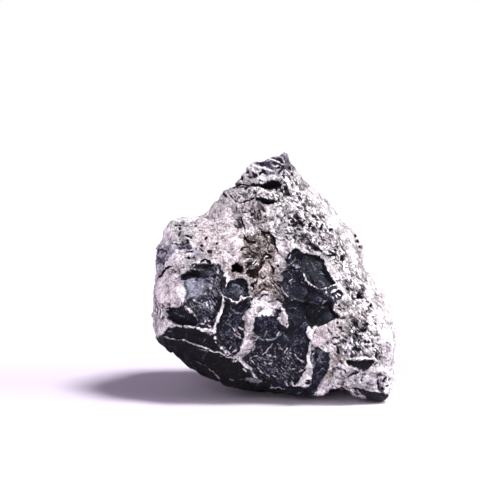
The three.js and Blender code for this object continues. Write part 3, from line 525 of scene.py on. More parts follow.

# Spots painted lighter and spots painted darker, partly as painted light and shade: how much,
# the middle (across, up), and how far the spot reaches across and up.
LIGHTER_SPOTS = [
    (0.3, -9, 99, 8, 10), (0.6, 31, 154, 9, 9), (0.7, 34, 127.5, 8.5, 7), (0.5, 48, 132, 7, 8),
    (0.5, 13, 156, 12, 8), (0.9, 75.5, 88, 5.5, 10), (0.6, -5, 135, 8, 6.5),
    (0.6, 1.5, 144, 7.5, 7), (0.7, 80, 52, 7.5, 8), (0.5, 41, 47, 8, 6), (1, -83.5, 132, 6.5, 9),
    (0.6, -72.5, 145, 7, 7), (0.7, -88, 55, 7, 8), (0.6, -20, 125, 11, 9),
    (0.8, -81, 119, 16, 23), (0.6, -87, 88, 9, 14), (0.8, -90.5, 72, 6.5, 8),
    (0.9, -69, 91, 8, 12), (0.9, -56, 98, 15, 7), (0.5, -48, 79.5, 10, 6),
    (0.7, -21, 159, 11, 11), (0.7, -5, 153, 10, 7), (0.8, -17.5, 139, 6, 11),
    (0.5, 12.5, 168, 6, 8), (0.7, 25, 147, 9, 9), (0.8, 46, 142.5, 13, 10),
    (0.8, 8, 124.5, 9, 9), (1, 0, 113, 9.5, 10.5), (0.8, -11, 102.5, 9.5, 9.5),
    (0.4, 70, 18.5, 12, 6), (0.5, 83, 23.5, 8, 6.5), (0.5, 66.5, 80, 10, 14),
    (0.5, 13.5, 151, 6, 5.5), (0.5, 26, 34, 5, 12.5), (0.7, 24, 24, 6, 12),
    (0.3, -58, 145, 22, 8), (0.8, -43.5, 56, 8, 18), (0.5, 52.5, 21, 6, 6),
    (0.2, -20, 55, 6.5, 17), (0.5, -11, 81, 6.5, 10), (0.6, -16.5, 108, 6.5, 6),
    (0.5, -54, 44, 10, 5.5), (0.7, 73, 45, 6.5, 9), (0.9, 17, 111.5, 7, 9),
    (0.5, 44.5, 97.5, 7, 7.5), (0.5, 66, 94, 6.5, 6.5), (0.6, -7.5, 85, 9, 9.5),
    (0.6, -10.5, 74, 10.5, 8), (0.7, -9, 183, 11, 8), (0.5, 37, 54, 9.5, 10),
    (0.6, 80, 68, 11, 16), (0.6, 89, 48, 8, 17), (0.6, 59, 47, 6, 12), (0.8, 50, 29, 10, 11),
    (0.8, 71.5, 36, 13.5, 4), (0.7, 34, 10.5, 12, 7), (0.7, 47, 11, 12, 7),
    (0.8, 50.5, 90.5, 7.5, 7.5), (0.6, 47.5, 78, 6, 6.5), (0.6, 58, 106, 8, 9),
    (0.6, 63, 116, 7, 10), (0.5, -7, 60, 8.5, 11), (0.6, 24, 134.5, 9, 5), (0.6, 12, 185, 5, 5),
    (0.5, -45, 105.5, 5, 5.5), (0.7, -32, 41, 6.5, 5),
]
DARKER_SPOTS = [
    (0.6, 42, 131.5, 7, 7.5), (0.6, 54, 113, 6.5, 8), (0.6, 56.5, 61, 8, 5.5),
    (0.7, 82, 43, 6.5, 7), (0.7, 34.5, 46, 6.5, 8.5), (0.7, -17.5, 56, 6, 12),
    (0.5, 1, 49.5, 11, 6), (0.5, 13, 57, 7, 10), (1, -30, 173.5, 8, 8.5),
    (0.8, -42, 156, 12, 8), (0.8, -58, 54.5, 13, 4.5), (0.6, 18, 180, 6.5, 6.5),
    (0.8, 12.5, 192.5, 6, 8), (0.8, -11, 193, 7.5, 6), (0.6, 5, 163.5, 9, 7.5),
    (0.6, -9.5, 143, 7.5, 8), (0.7, 10.5, 113, 5.5, 8), (0.5, -78, 121.5, 7, 7.5),
    (0.4, -72, 121, 13, 7.5), (0.5, 2, 38, 15, 8), (0.6, 7.5, 68, 6, 8),
    (0.4, -65, 139.5, 19, 15), (0.3, -48, 126, 25, 19), (1, -57.5, 73, 11, 7.5),
    (0.8, 21.5, 129.5, 7, 9), (0.8, -7.5, 126.5, 7, 7), (0.5, -6, 127.5, 9, 9),
    (1, 4.5, 86.5, 10, 7.5), (1, 6, 100.5, 5.5, 7), (0.7, 53.5, 78, 8, 9.5),
    (0.6, 45, 64.5, 6.5, 6), (0.8, 51, 44, 5, 10), (0.9, -20, 94.5, 5, 7),
    (0.4, 29.5, 106, 10, 10), (0.5, -43, 109, 9, 9), (0.6, 3, 184.5, 5, 4.5),
    (1, 15.5, 190.5, 6, 8.5), (1, 25, 177, 8, 9), (0.7, -34, 167.5, 6.5, 8),
    (0.4, 37, 54, 12, 12), (0.3, 50, 57, 11, 10), (0.8, 44, 23, 5, 7),
    (0.7, 69.5, 15.5, 13, 8.5), (0.3, 75, 98, 8, 18), (0.3, 83, 72, 9, 20),
    (0.3, 91, 42, 8, 18), (0.3, -11, 124.5, 18, 15), (0.6, 62, 26, 6.5, 4),
    (0.5, 80, 31, 6, 5), (0.7, 62.5, 58.5, 5, 4), (0.3, 46, 105.5, 6, 8),
    (0.7, 31.5, 120, 6.5, 5), (0.7, 34, 134.5, 5, 4.5), (0.6, 5, 134, 5, 6),
    (0.5, 17.5, 141.5, 10.5, 4.5), (0.4, -51.5, 129, 8.5, 8), (0.5, -68.5, 106, 5.5, 5),
    (0.8, 14.5, 71, 7, 6.5), (0.6, 73.5, 80.5, 7, 6), (0.5, 60.5, 128.5, 5.5, 5.5),
    (0.4, 72, 111, 8, 5.5), (0.5, 47, 150, 5, 6), (0.6, -66, 58.5, 14, 5),
    (0.7, 24.5, 142.5, 6, 7), (0.6, -60, 54, 8.5, 6.5),
]
# The underside is painted darker all over: painted shade.
PAINTED_UNDERSIDE_SHADE = (1.0, 4, [
    (-96, 30), (-92, 50), (-70, 50), (-40, 38), (-14, 20), (0, 13), (0, 0), (-60, 2)])

# Where the stone stands fuller than its solid, or is worn back: patches whose strength is in
# millimetres.
FULLER = [
    (5.0, 6, [(-54, 150), (-48, 166), (-34, 182), (-22, 190), (-20, 180), (-28, 166),
        (-38, 152)]),
    (4.6, 4, [(-27, 183), (-22, 191), (-12, 196), (-8, 191), (-16, 183)]),
    (1.4, 4, [(-14, 190), (-12, 198), (0, 202), (4, 194), (-8, 187)]),
    (-4.5, 5, [(-34, 0), (-32, 14), (4, 15), (32, 10), (36, 0)]),
    (3.4, 2, [(6.4, 195), (8, 208), (11, 208), (11.6, 196)]),
]

# Fragments closer to each other than this have no crust between them, only the veins.
GAP_MM = 4.4

# Rain has cut the crust down to the right at this slope, and scratches in the limestone run
# down to the left at the other.
RUNNEL_SLOPE = math.radians(50)
SCRATCH_SLOPE = math.radians(-40)

# Noises by what they shape: a seed, the size of the lumps in millimetres, and the layers.
NOISES = {
    "wobble": (3, 9.0, 3),
    "patina": (4, 34.0, 3),
    "rubble": (11, 9.0, 3),
    "crumbs": (14, 3.0, 2),
    "folds": (19, 8.0, 2),
}

# How places stray before something is laid out on them, so that it comes out ragged or crooked:
# how far and in lumps of what size in millimetres, the layers, and a seed for each direction.
STRAYS = {
    "drawn edges": (0.8, 4.5, 3, (5, 6)),
    "pits": (1.6, 5.0, 2, (16, 17, 18)),
    "facets": (1.2, 9.0, 2, (20, 21, 22)),
}

# Broken facets, wide ones and small ones on them: a seed, the width in millimetres and the share.
FACETS = ((13, 12.0, 1.0), (15, 5.5, 0.5))

# Rain pits in the crust.
PIT_SEED = 12
PIT_SPACING_MM = 4.0
PIT_RADIUS_MM = 2.1

# How high the crumbs of the crust stand, and the folds in its stained part.
CRUMB_MM = 0.5
FOLD_MM = 0.6

# How pitted the crust is at least on the front, and everywhere on the other sides.
LEAST_PITTED = 0.45
HIDDEN_PITTED = 0.7

# Drawn widths come out wider than they are drawn, because their edges are soft.
VEIN_SHARE = 0.68
CRACK_SHARE = 0.75

# How much of a round spot's reach its fading edge takes.
SPOT_FADE = 0.7

# How wide the wall round a sunk fragment is, and how far inward and outward the walls of the
# solid are moved at most to make them that sharp.
WALL_MM = 1.8
MOVED_IN_MM = 4.5
MOVED_OUT_MM = 3.5

# Faces this close to a vein, a rim or a crack are refined once more.
NEAR_LINE_MM = 0.7

# The relief fades out over this height above the flat seat.
SEAT_FADE_MM = 7.0

# The front's marks fade in where the surface, averaged over a few rounds, turns toward the
# viewer: the cosines of the turn.
TURN_ROUNDS = 6
ON_FRONT = (-0.15, 0.05)

# Distances to marks are kept within this.
FAR_MM = 6.0

# Rounds of averaging that show what lies in a crevice, and how many more show a wider dell.
# The material paints shade into crevices and dells, and light onto what stands proud.
SUNK_ROUNDS = {"crevice": 5, "dell": 30}

# The floor reaches this far from the middle, out of sight.
FLOOR_REACH_M = 6.0

# The camera looks along +Y, a little from above.
CAMERA_RISE = math.radians(8)
CAMERA_AIM_MM = (-27.2, -27.4, 127.4)
CAMERA_REACH_MM = 1600


def place_on_plane(points):
    """Where points (in millimetres) fall on the plane that the marks are laid out on."""
    foot = np.array(PLANE_FOOT_MM)
    up = (points[:, 2] - foot[2]) * math.cos(LEAN) + (points[:, 1] - foot[1]) * math.sin(LEAN)
    return np.stack([points[:, 0] - foot[0], up], axis=1)


# ---- distances ----------------------------------------------------------------------------------


def smooth_step(value, low, high):
    t = np.clip((value - low) / (high - low), 0, 1)
    return t * t * (3 - 2 * t)


def nearest_on_row(places, row):
    """How far each place is from a row of points joined by straight lines, and how far along
    the row, from 0 to 1, the nearest point lies."""
    best = np.full(len(places), np.inf)
    where = np.zeros(len(places))
    for index, (start, end) in enumerate(zip(row[:-1], row[1:])):
        start = np.array(start, float)
        step = np.array(end, float) - start
        along = np.clip((places - start) @ step / (step @ step), 0, 1)
        gap = places - (start + along[:, None] * step)
        distance = np.hypot(gap[:, 0], gap[:, 1])
        nearer = distance < best
        where[nearer] = (index + along[nearer]) / (len(row) - 1)
        best = np.minimum(best, distance)
    return best, where


def inside_row(places, half_width, row, taper):
    """Distance inside a band along a row, narrower toward its ends by the share `taper`."""
    distance, where = nearest_on_row(places, row)
    from_end = np.minimum(1, 4 * np.minimum(where, 1 - where))
    return half_width * (1 - taper + taper * from_end) - distance


def depth_inside(places, outline):
    """How far inside an outline each place is; negative outside."""
    inside = np.zeros(len(places), bool)
    x, y = places[:, 0], places[:, 1]
    for (ax, ay), (bx, by) in zip(outline, outline[1:] + outline[:1]):
        crosses = (ay > y) != (by > y)
        # a level side is never crossed, so what stands for its rise doesn't matter
        rise = by - ay or 1.0
        inside ^= crosses & (x < ax + (y - ay) / rise * (bx - ax))
    distance = nearest_on_row(places, outline + outline[:1])[0]
    return np.where(inside, distance, -distance)


def outline_middle(outline):
    points = np.array(outline)
    middle = points.mean(axis=0)
    reach = np.hypot(*(points - middle).T).max()
    return middle, reach


# ---- noise --------------------------------------------------------------------------------------


class Noise:
    """Smooth lattice noise from about -1 to 1, the same every time for one seed."""

    def __init__(self, seed):
        chooser = np.random.default_rng(seed)
        self.order = chooser.permutation(256)
        slopes = chooser.normal(size=(256, 3))
        self.slopes = slopes / np.linalg.norm(slopes, axis=1)[:, None]

    def corner(self, cell):
        x, y, z = (cell[:, k] & 255 for k in range(3))
        return self.order[(self.order[(self.order[x] + y) & 255] + z) & 255]

    def at(self, points, size):
        """The noise at points, with lumps of about `size`."""
        scaled = points / size
        cell = np.floor(scaled).astype(int)
        inside = scaled - cell
        blend = inside**3 * (inside * (inside * 6 - 15) + 10)
        total = np.zeros(len(points))
        for corner in np.ndindex(2, 2, 2):
            offset = np.array(corner)
            slope = self.slopes[self.corner(cell + offset)]
            weight = np.prod(np.where(offset == 1, blend, 1 - blend), axis=1)
            total += weight * np.sum(slope * (inside - offset), axis=1)
        return 1.7 * total

    def layered(self, points, size, layers):
        """Layers of the noise, each half as large and half as strong as the one before, and
        shifted so that their cells don't line up."""
        total = np.zeros(len(points))
        for layer in range(layers):
            total += self.at(points + 31.7 * layer, size / 2**layer) / 2**layer
        return total

    def scattered(self, points, spacing):
        """The points near each place of a set with one at random in each cube of `spacing`: the
        number that each was picked by, and the way from it to the place."""
        cell = np.floor(points / spacing).astype(int)
        for corner in np.ndindex(3, 3, 3):
            near = cell + np.array(corner) - 1
            pick = self.corner(near)
            yield pick, points - (near + 0.5 + 0.45 * self.slopes[pick]) * spacing

    def pits(self, points, spacing, radius):
        """Round pits of up to `radius` at scattered places: 1 in the middle, 0 outside."""
        deepest = np.zeros(len(points))
        for pick, way in self.scattered(points, spacing):
            own_radius = radius * (0.45 + 0.55 * (self.order[pick] / 255))
            gap = np.linalg.norm(way, axis=1)
            deepest = np.maximum(deepest, 1 - (gap / own_radius) ** 2)
        return np.clip(deepest, 0, 1)

    def facets(self, points, spacing):
        """Flat facets about `spacing` wide, each tilted its own way, from about -1 to 1."""
        nearest = np.full(len(points), np.inf)
        height = np.zeros(len(points))
        for pick, way in self.scattered(points, spacing):
            gap = np.linalg.norm(way, axis=1)
            tilt = self.slopes[(pick + 101) % 256]
            nearer = gap < nearest
            height[nearer] = 2 * np.sum(tilt * way, axis=1)[nearer] / spacing
            nearest = np.minimum(nearest, gap)
        return height


def noise(points, name):
    """One of the NOISES, from about -1 to 1."""
    seed, size, layers = NOISES[name]
    return Noise(seed).layered(points, size, layers)


def ridges(points, name):
    """One of the NOISES folded into sharp crests."""
    return 1 - 2 * np.abs(noise(points, name))


def stray(points, name):
    """Shifts for points, in as many directions as there are seeds."""
    reach, size, layers, seeds = STRAYS[name]
    return reach * np.stack(
        [Noise(seed).layered(points, size, layers) for seed in seeds], axis=1)


# ---- refining the mesh --------------------------------------------------------------------------


def merged_arrays(node):
    """A node's mesh as places in millimetres and triangles, with its doubled vertices joined."""
    mesh = node.data
    places = np.empty(len(mesh.vertices) * 3)
    mesh.vertices.foreach_get("co", places)
    places = places.reshape(-1, 3) / MM
    corners = np.empty(len(mesh.loops), int)
    mesh.loops.foreach_get("vertex_index", corners)
    _, first, same = np.unique(
        np.round(places, 3), axis=0, return_index=True, return_inverse=True
    )
    return places[first], same.ravel()[corners].reshape(-1, 3)


def edges_of(triangles):
    """Each edge once, each triangle's three edges, and the two vertices across from each edge."""
    sides = np.concatenate([triangles[:, [0, 1]], triangles[:, [1, 2]], triangles[:, [2, 0]]])
    across = np.concatenate([triangles[:, 2], triangles[:, 0], triangles[:, 1]])
    count = triangles.max() + 1
    keys, which = np.unique(sides.min(axis=1) * count + sides.max(axis=1), return_inverse=True)
    edges = np.stack([keys // count, keys % count], axis=1)
    order = np.argsort(which, kind="stable")
    if len(order) != 2 * len(edges):
        raise RuntimeError("the stone's surface isn't closed")
    return edges, which.reshape(3, -1).T, across[order].reshape(-1, 2)


def neighbours(values, edges):
    """The sum of the neighbours' values at each vertex, and how many neighbours it has."""
    near = np.zeros_like(values)
    for here, there in ((0, 1), (1, 0)):
        np.add.at(near, edges[:, here], values[edges[:, there]])
    return near, np.bincount(edges.ravel(), minlength=len(values))[:, None]


def refine(values, triangles):
    """One round of Loop's subdivision, on places and any other values kept with the vertices."""
    edges, sides, across = edges_of(triangles)
    middles = 0.375 * (values[edges[:, 0]] + values[edges[:, 1]])
    middles += 0.125 * (values[across[:, 0]] + values[across[:, 1]])
    near, ways = neighbours(values, edges)
    pull = (0.625 - (0.375 + 0.25 * np.cos(2 * np.pi / ways)) ** 2) / ways
    softened = (1 - ways * pull) * values + pull * near
    a, b, c = triangles.T
    ab, bc, ca = (sides + len(values)).T
    finer = np.concatenate([
        np.stack([a, ab, ca], axis=1),
        np.stack([b, bc, ab], axis=1),
        np.stack([c, ca, bc], axis=1),
        np.stack([ab, bc, ca], axis=1),
    ])
    return np.concatenate([softened, middles]), finer


def refine_part(values, triangles, wanted):
    """Splits in four only the faces whose three vertices are wanted, and splits their neighbours
    so that the surface stays closed."""
    edges, sides, across = edges_of(triangles)
    halved = np.zeros(len(edges), bool)
    halved[sides[wanted[triangles].all(axis=1)]] = True
    number = len(values) - 1 + np.cumsum(halved)
    middles = values[edges[halved]].mean(axis=1)
    cuts = halved[sides].sum(axis=1)
    parts = [triangles[cuts == 0]]
    for turn in range(3):
        a, b, c = np.roll(triangles, -turn, axis=1).T
        ab, bc, ca = np.roll(number[sides], -turn, axis=1).T
        cut = np.roll(halved[sides], -turn, axis=1)
        one = (cuts == 1) & cut[:, 0]
        two = (cuts == 2) & ~cut[:, 0]
        pieces = [(one, (a, ab, c)), (one, (ab, b, c)),
                  (two, (bc, c, ca)), (two, (a, b, bc)), (two, (a, bc, ca))]
        if turn == 0:
            four = cuts == 3
            pieces += [(four, (a, ab, ca)), (four, (b, bc, ab)), (four, (c, ca, bc)),
                       (four, (ab, bc, ca))]
        parts += [np.stack(piece, axis=1)[chosen] for chosen, piece in pieces]
    return np.concatenate([values, middles]), np.concatenate(parts)


def vertex_normals(places, triangles):
    a, b, c = (places[triangles[:, k]] for k in range(3))
    face = np.cross(b - a, c - a)
    total = np.zeros_like(places)
    for k in range(3):
        np.add.at(total, triangles[:, k], face)
    return total / np.maximum(np.linalg.norm(total, axis=1), 1e-12)[:, None]


def spread(values, triangles, rounds):
    """Values averaged with their neighbours' several times."""
    edges = edges_of(triangles)[0]
    for _ in range(rounds):
        near, ways = neighbours(values, edges)
        values = 0.5 * values + 0.5 * near / ways
    return values


# ---- what the stone is at each place ------------------------------------------------------------

# What every vertex holds for the material.
SURFACE_MARKS = (
    "dark", "shade", "hollow", "vein", "rim", "crack", "facet", "cream", "tan", "blue",
    "pitted", "pit", "flecked", "bruised", "brightness_shift", "crevice", "dell",
)


def marked_depth(places):
    """How deep the fragments and hollows on the front lie under the crust, in millimetres."""
    depth = np.zeros(len(places))
    sunk = [(sink, rise, bowl, outline) for _, sink, rise, bowl, outline in FRAGMENTS.values()]
    sunk += [(sink, 0, bowl, outline) for sink, bowl, _, outline in HOLLOWS.values()]
    for sink, rise, bowl, outline in sunk:
        middle, reach = outline_middle(outline)
        inward = depth_inside(places, outline)
        own = sink + rise * (places[:, 1] - middle[1])
        cut = own * smooth_step(inward, 0, WALL_MM) + bowl * smooth_step(inward, 0, reach)
        depth = np.maximum(depth, cut)
    return depth


def deepest_inside(places, outlines):
    """Distance inside the nearest of several outlines, and which one it is. A gap between two
    outlines that is narrower than GAP_MM counts as inside."""
    best = np.full(len(places), -3 * FAR_MM)
    second = best.copy()
    which = np.zeros(len(places), int)
    for index, outline in enumerate(outlines):
        inward = depth_inside(places, outline)
        second = np.maximum(second, np.minimum(best, inward))
        which[inward > best] = index
        best = np.maximum(best, inward)
    return np.maximum(best, (GAP_MM + best + second) / 2), which


def patches(places, listed):
    """The weight of soft-edged patches: nothing outside, and a patch's strength well inside."""
    weight = np.zeros(len(places))
    for strength, softness, outline in listed:
        inward = depth_inside(places, outline)
        weight = np.maximum(weight, strength * smooth_step(inward, -softness, softness))
    return weight


def round_spots(places, listed):
    """The weight of round spots that fade toward their edges."""
    weight = np.zeros(len(places))
    for strength, across, up, reach_across, reach_up in listed:
        away = (places - (across, up)) / (reach_across, reach_up)
        inward = 1 - np.hypot(*away.T)
        weight = np.maximum(weight, strength * smooth_step(inward, 0, SPOT_FADE))
    return weight


def steady_random(seed):
    """The same numbers every time, from 0 to 1."""
    state = seed
    while True:
        state = (state * 1664525 + 1013904223) % 2**32
        yield state / 2**32


def bent(points):
    """Space bent a little, so that the boundaries between buried fragments are crooked."""
    x, y, z = points.T
    return points + BURIED_BEND_MM * np.stack([
        np.sin(y / 9 + 1) * np.cos(z / 7),
        np.sin(z / 10 + 2) * np.cos(x / 8),
        np.sin(x / 11 + 3) * np.cos(y / 6),
    ], axis=1)


def buried(points):
    """Distance inside a buried fragment, whether it is dark, a number of its own and one that it
    shares with its neighbour, from 0 to 1, and its depth."""
    chance = steady_random(BURIED_SEED)
    facts = []
    for _ in range(BURIED_COUNT):
        middle = [
            low + size * next(chance) for low, size in zip(BURIED_CORNER_MM, BURIED_BOX_MM)]
        tilt = [next(chance) - 0.5 for _ in range(3)]
        facts.append(middle + tilt + [next(chance)])
    facts = np.array(facts)
    curved = bent(points - np.array(BURIED_MIDDLE_MM))
    gaps = np.stack([np.linalg.norm(curved - fact[:3], axis=1) for fact in facts], axis=1)
    order = np.argpartition(gaps, 1, axis=1)[:, :2]
    rows = np.arange(len(points))
    first, second = order[:, 0], order[:, 1]
    swap = gaps[rows, first] > gaps[rows, second]
    first, second = np.where(swap, second, first), np.where(swap, first, second)
    between = np.linalg.norm(facts[first, :3] - facts[second, :3], axis=1)
    inward = (gaps[rows, second] ** 2 - gaps[rows, first] ** 2) / (2 * between)
    number = facts[first, 6]
    pair = (facts[first, 6] + facts[second, 6]) * 7.3 % 1
    is_dark = number > PALE_SHARE
    tilted = 2 * BURIED_TILT * np.sum(facts[first, 3:6] * (curved - facts[first, :3]), axis=1)
    sink = np.maximum(tilted + np.where(is_dark, BURIED_SINK_MM * number, -1), -1.5)
    return inward, is_dark, number, pair, sink * smooth_step(inward, 1, 4)


def lerp(a, b, t):
    return a + (b - a) * t


def front_values(places):
    """What the front is at each place on its plane."""
    dark, which = deepest_inside(places, [mark[-1] for mark in FRAGMENTS.values()])
    shade = np.array([mark[0] for mark in FRAGMENTS.values()])[which] + patches(places, RAKED)
    far = np.full(len(places), -FAR_MM)
    hollow = reduce(np.maximum, (
        depth_inside(places, outline)
        for _, _, is_black, outline in HOLLOWS.values() if is_black), far)
    vein = reduce(np.maximum, (
        inside_row(places, VEIN_SHARE * half_width, row, 0.5) for half_width, row in VEINS), far)
    vein = reduce(np.maximum, (depth_inside(places, outline) for outline in SHARDS), vein)
    rim = reduce(np.maximum, (
        inside_row(places, half_width, row, 0.8) for half_width, row in RIMS), far)
    crack, crack_depth = far, np.zeros(len(places))
    for depth, half_width, row in CRACKS:
        inward = inside_row(places, CRACK_SHARE * half_width, row, 0.9)
        crack = np.maximum(crack, inward)
        crack_depth = np.maximum(crack_depth, depth * smooth_step(inward, 0, half_width))
    for radius, spots in SPECKS:
        for spot in spots:
            inward = radius - np.hypot(*(places - np.array(spot)).T)
            crack = np.maximum(crack, inward)
            crack_depth = np.maximum(crack_depth, radius * smooth_step(inward, 0, radius))
    # spots painted darker, partly painted shade, and the underside's painted shade
    darkening = np.maximum(round_spots(places, DARKER_SPOTS), patches(places, [PAINTED_UNDERSIDE_SHADE]))
    pitted = np.maximum(patches(places, PITTED), LEAST_PITTED) * (1 - patches(places, SMOOTH))
    return {
        "dark": dark, "shade": shade, "hollow": hollow, "vein": vein, "rim": rim,
        "crack": crack, "crack_depth": crack_depth, "pitted": pitted,
        "cream": patches(places, CREAM),
        "tan": patches(places, TAN),
        "blue": patches(places, BLUE),
        "bruised": patches(places, BRUISED),
        "flecked": patches(places, FLECKED),
        "brightness_shift": round_spots(places, LIGHTER_SPOTS) - darkening,
    }


def hidden_values(points):
    """What the sides, back and top are: fragments between veins, under a patchy crust."""
    inward, is_dark, number, pair, _ = buried(points)
    wobble = noise(points, "wobble")
    patina = noise(points, "patina")
    zero = np.zeros(len(points))
    far = zero - FAR_MM
    return {
        # the crust creeps over the edges of dark fragments, and over the veins
        "dark": np.where(
            is_dark, inward - 1.6 + 2.0 * wobble - 6.0 * smooth_step(patina, 0.1, 0.6), far),
        "vein": 1.6 * pair - 0.7 - inward + 0.6 * wobble - 2.5 * smooth_step(patina, 0.0, 0.5),
        "hollow": far, "rim": far, "crack": far, "crack_depth": zero, "brightness_shift": zero,
        "pitted": zero + HIDDEN_PITTED,
        # which pale fragments are calcite, stained, blue-grey or eaten, and which dark ones are
        # flecked, goes by their numbers
        "cream": ~is_dark * smooth_step(inward, 1, 4) * (number < 0.2),
        "tan": ~is_dark * 0.5 * (number > 0.33),
        "blue": ~is_dark * 0.6 * ((number > 0.2) & (number < 0.26)),
        "bruised": ~is_dark * 0.6 * (number < 0.1),
        "shade": 0.6 + 0.8 * number,
        "flecked": 0.9 * (number > 0.8),
    }


def along_runnels(points, share):
    """Points squeezed along the way that rain has run, down to the right, so that what is round
    there comes out drawn out along it."""
    way = np.array([math.cos(RUNNEL_SLOPE), 0, -math.sin(RUNNEL_SLOPE)])
    return points - (1 - share) * (points @ way)[:, None] * way


def ragged_place(points):
    """Places on the plane, shifted a little here and there so that drawn edges look broken."""
    return place_on_plane(points) + stray(points, "drawn edges")


def surface_values(points, frontness):
    """Everything the material reads, blended from the front round to the other sides."""
    front = front_values(ragged_place(points))
    hidden = hidden_values(points)
    for side in (front, hidden):
        for name in ("dark", "vein", "rim", "hollow", "crack"):
            side[name] = np.clip(side[name], -FAR_MM, FAR_MM)
    return {name: lerp(hidden[name], front[name], frontness) for name in front}


def sunk(places, on_plane, front):
    """How deep buried fragments and the front's marks lie, in millimetres."""
    return lerp(buried(places)[4], marked_depth(on_plane), front)


def dressed_stone(node, sizes):
    """The stone's places, triangles and surface values, refined and finely carved."""
    places, triangles = merged_arrays(node)
    toward_front = np.array([0, -math.cos(LEAN), math.sin(LEAN)])
    broad = spread(vertex_normals(places, triangles), triangles, TURN_ROUNDS)
    front = smooth_step(broad @ toward_front / np.linalg.norm(broad, axis=1), *ON_FRONT)

    depth = sunk(places, place_on_plane(places), front)
    values = np.column_stack([places, front, depth])
    for _ in range(sizes.refinings):
        values, triangles = refine(values, triangles)
    drawn = front_values(ragged_place(values[:, :3]))
    near = np.maximum.reduce([drawn[name] for name in ("vein", "rim", "crack")]) > -NEAR_LINE_MM
    values, triangles = refine_part(values, triangles, near & (values[:, 3] > 0.5))
    places, front, coarse_depth = values[:, :3], values[:, 3], values[:, 4]
    seat = smooth_step(places[:, 2], 0.5, SEAT_FADE_MM)
    normals = vertex_normals(places, triangles)
    sharpened = sunk(places, ragged_place(places), front) - coarse_depth

    marks = surface_values(places, front)
    on_fragment = smooth_step(marks["dark"], -0.5, 1.5)
    crusted = (1 - on_fragment) * marks["pitted"]
    relief = patches(place_on_plane(places), FULLER)
    relief -= np.clip(sharpened, -MOVED_OUT_MM, MOVED_IN_MM)
    relief += sizes.vein_height / MM * smooth_step(marks["vein"], -0.8, 0.6)
    relief -= marks["crack_depth"]

    # rubble, pits, crumbs and folds of the crust
    drawn_out = along_runnels(places, 0.5)
    relief += sizes.crust_relief / MM * crusted * ridges(drawn_out, "rubble")
    pits = Noise(PIT_SEED).pits(
        drawn_out + stray(places, "pits"), PIT_SPACING_MM, PIT_RADIUS_MM)
    relief -= sizes.pit_depth / MM * crusted * pits
    relief += CRUMB_MM * (1 - on_fragment) * noise(places, "crumbs")
    relief += FOLD_MM * marks["tan"] * (1 - on_fragment) * ridges(places, "folds")

    # broken facets, which are plainest on blue-grey stone
    crooked = places + stray(places, "facets")
    broken = sum(share * Noise(seed).facets(crooked, width) for seed, width, share in FACETS)
    roughly = 0.8 + 0.6 * marks["blue"] + 0.4 * crusted
    relief += sizes.facet_height / MM * broken * roughly
    places = places + normals * (relief * seat)[:, None]
    places[:, 2] = np.maximum(places[:, 2], 0)

    # the facets' tilt is also painted into the colour, lighter toward one side of each facet:
    # painted shading
    marks["facet"] = broken
    marks["pit"] = crusted * pits
    # how far the surface lies under its own average nearby, and under that of a wider part: the
    # material paints shade and light by these
    normals = vertex_normals(places, triangles)
    settled = places
    for name, rounds in SUNK_ROUNDS.items():
        settled = spread(settled, triangles, rounds)
        marks[name] = np.sum((settled - places) * normals, axis=1)
    return places, triangles, marks


# ---- materials ----------------------------------------------------------------------------------


def linear(hex_colour):
    """A colour given as sRGB hex, such as "#d0c6cc", as linear RGBA."""
    parts = [int(hex_colour[k:k + 2], 16) / 255 for k in (1, 3, 5)]
    return [c / 12.92 if c <= 0.04045 else ((c + 0.055) / 1.055) ** 2.4 for c in parts] + [1.0]


def per_metre(size_mm):
    """How many lumps of a size fit in a metre, which is what a noise node's scale means."""
    return 1000 / size_mm


def add(tree, kind, inputs=None, out=0, **settings):
    """Adds a node with its settings and links, and gives its output number `out`."""
    node = tree.nodes.new(kind)
    for name, value in settings.items():
        setattr(node, name, value)
    for key, value in (inputs or {}).items():
        if isinstance(value, bpy.types.NodeSocket):
            tree.links.new(value, node.inputs[key])
        else:
            node.inputs[key].default_value = value
    return node.outputs[out] if len(node.outputs) else None


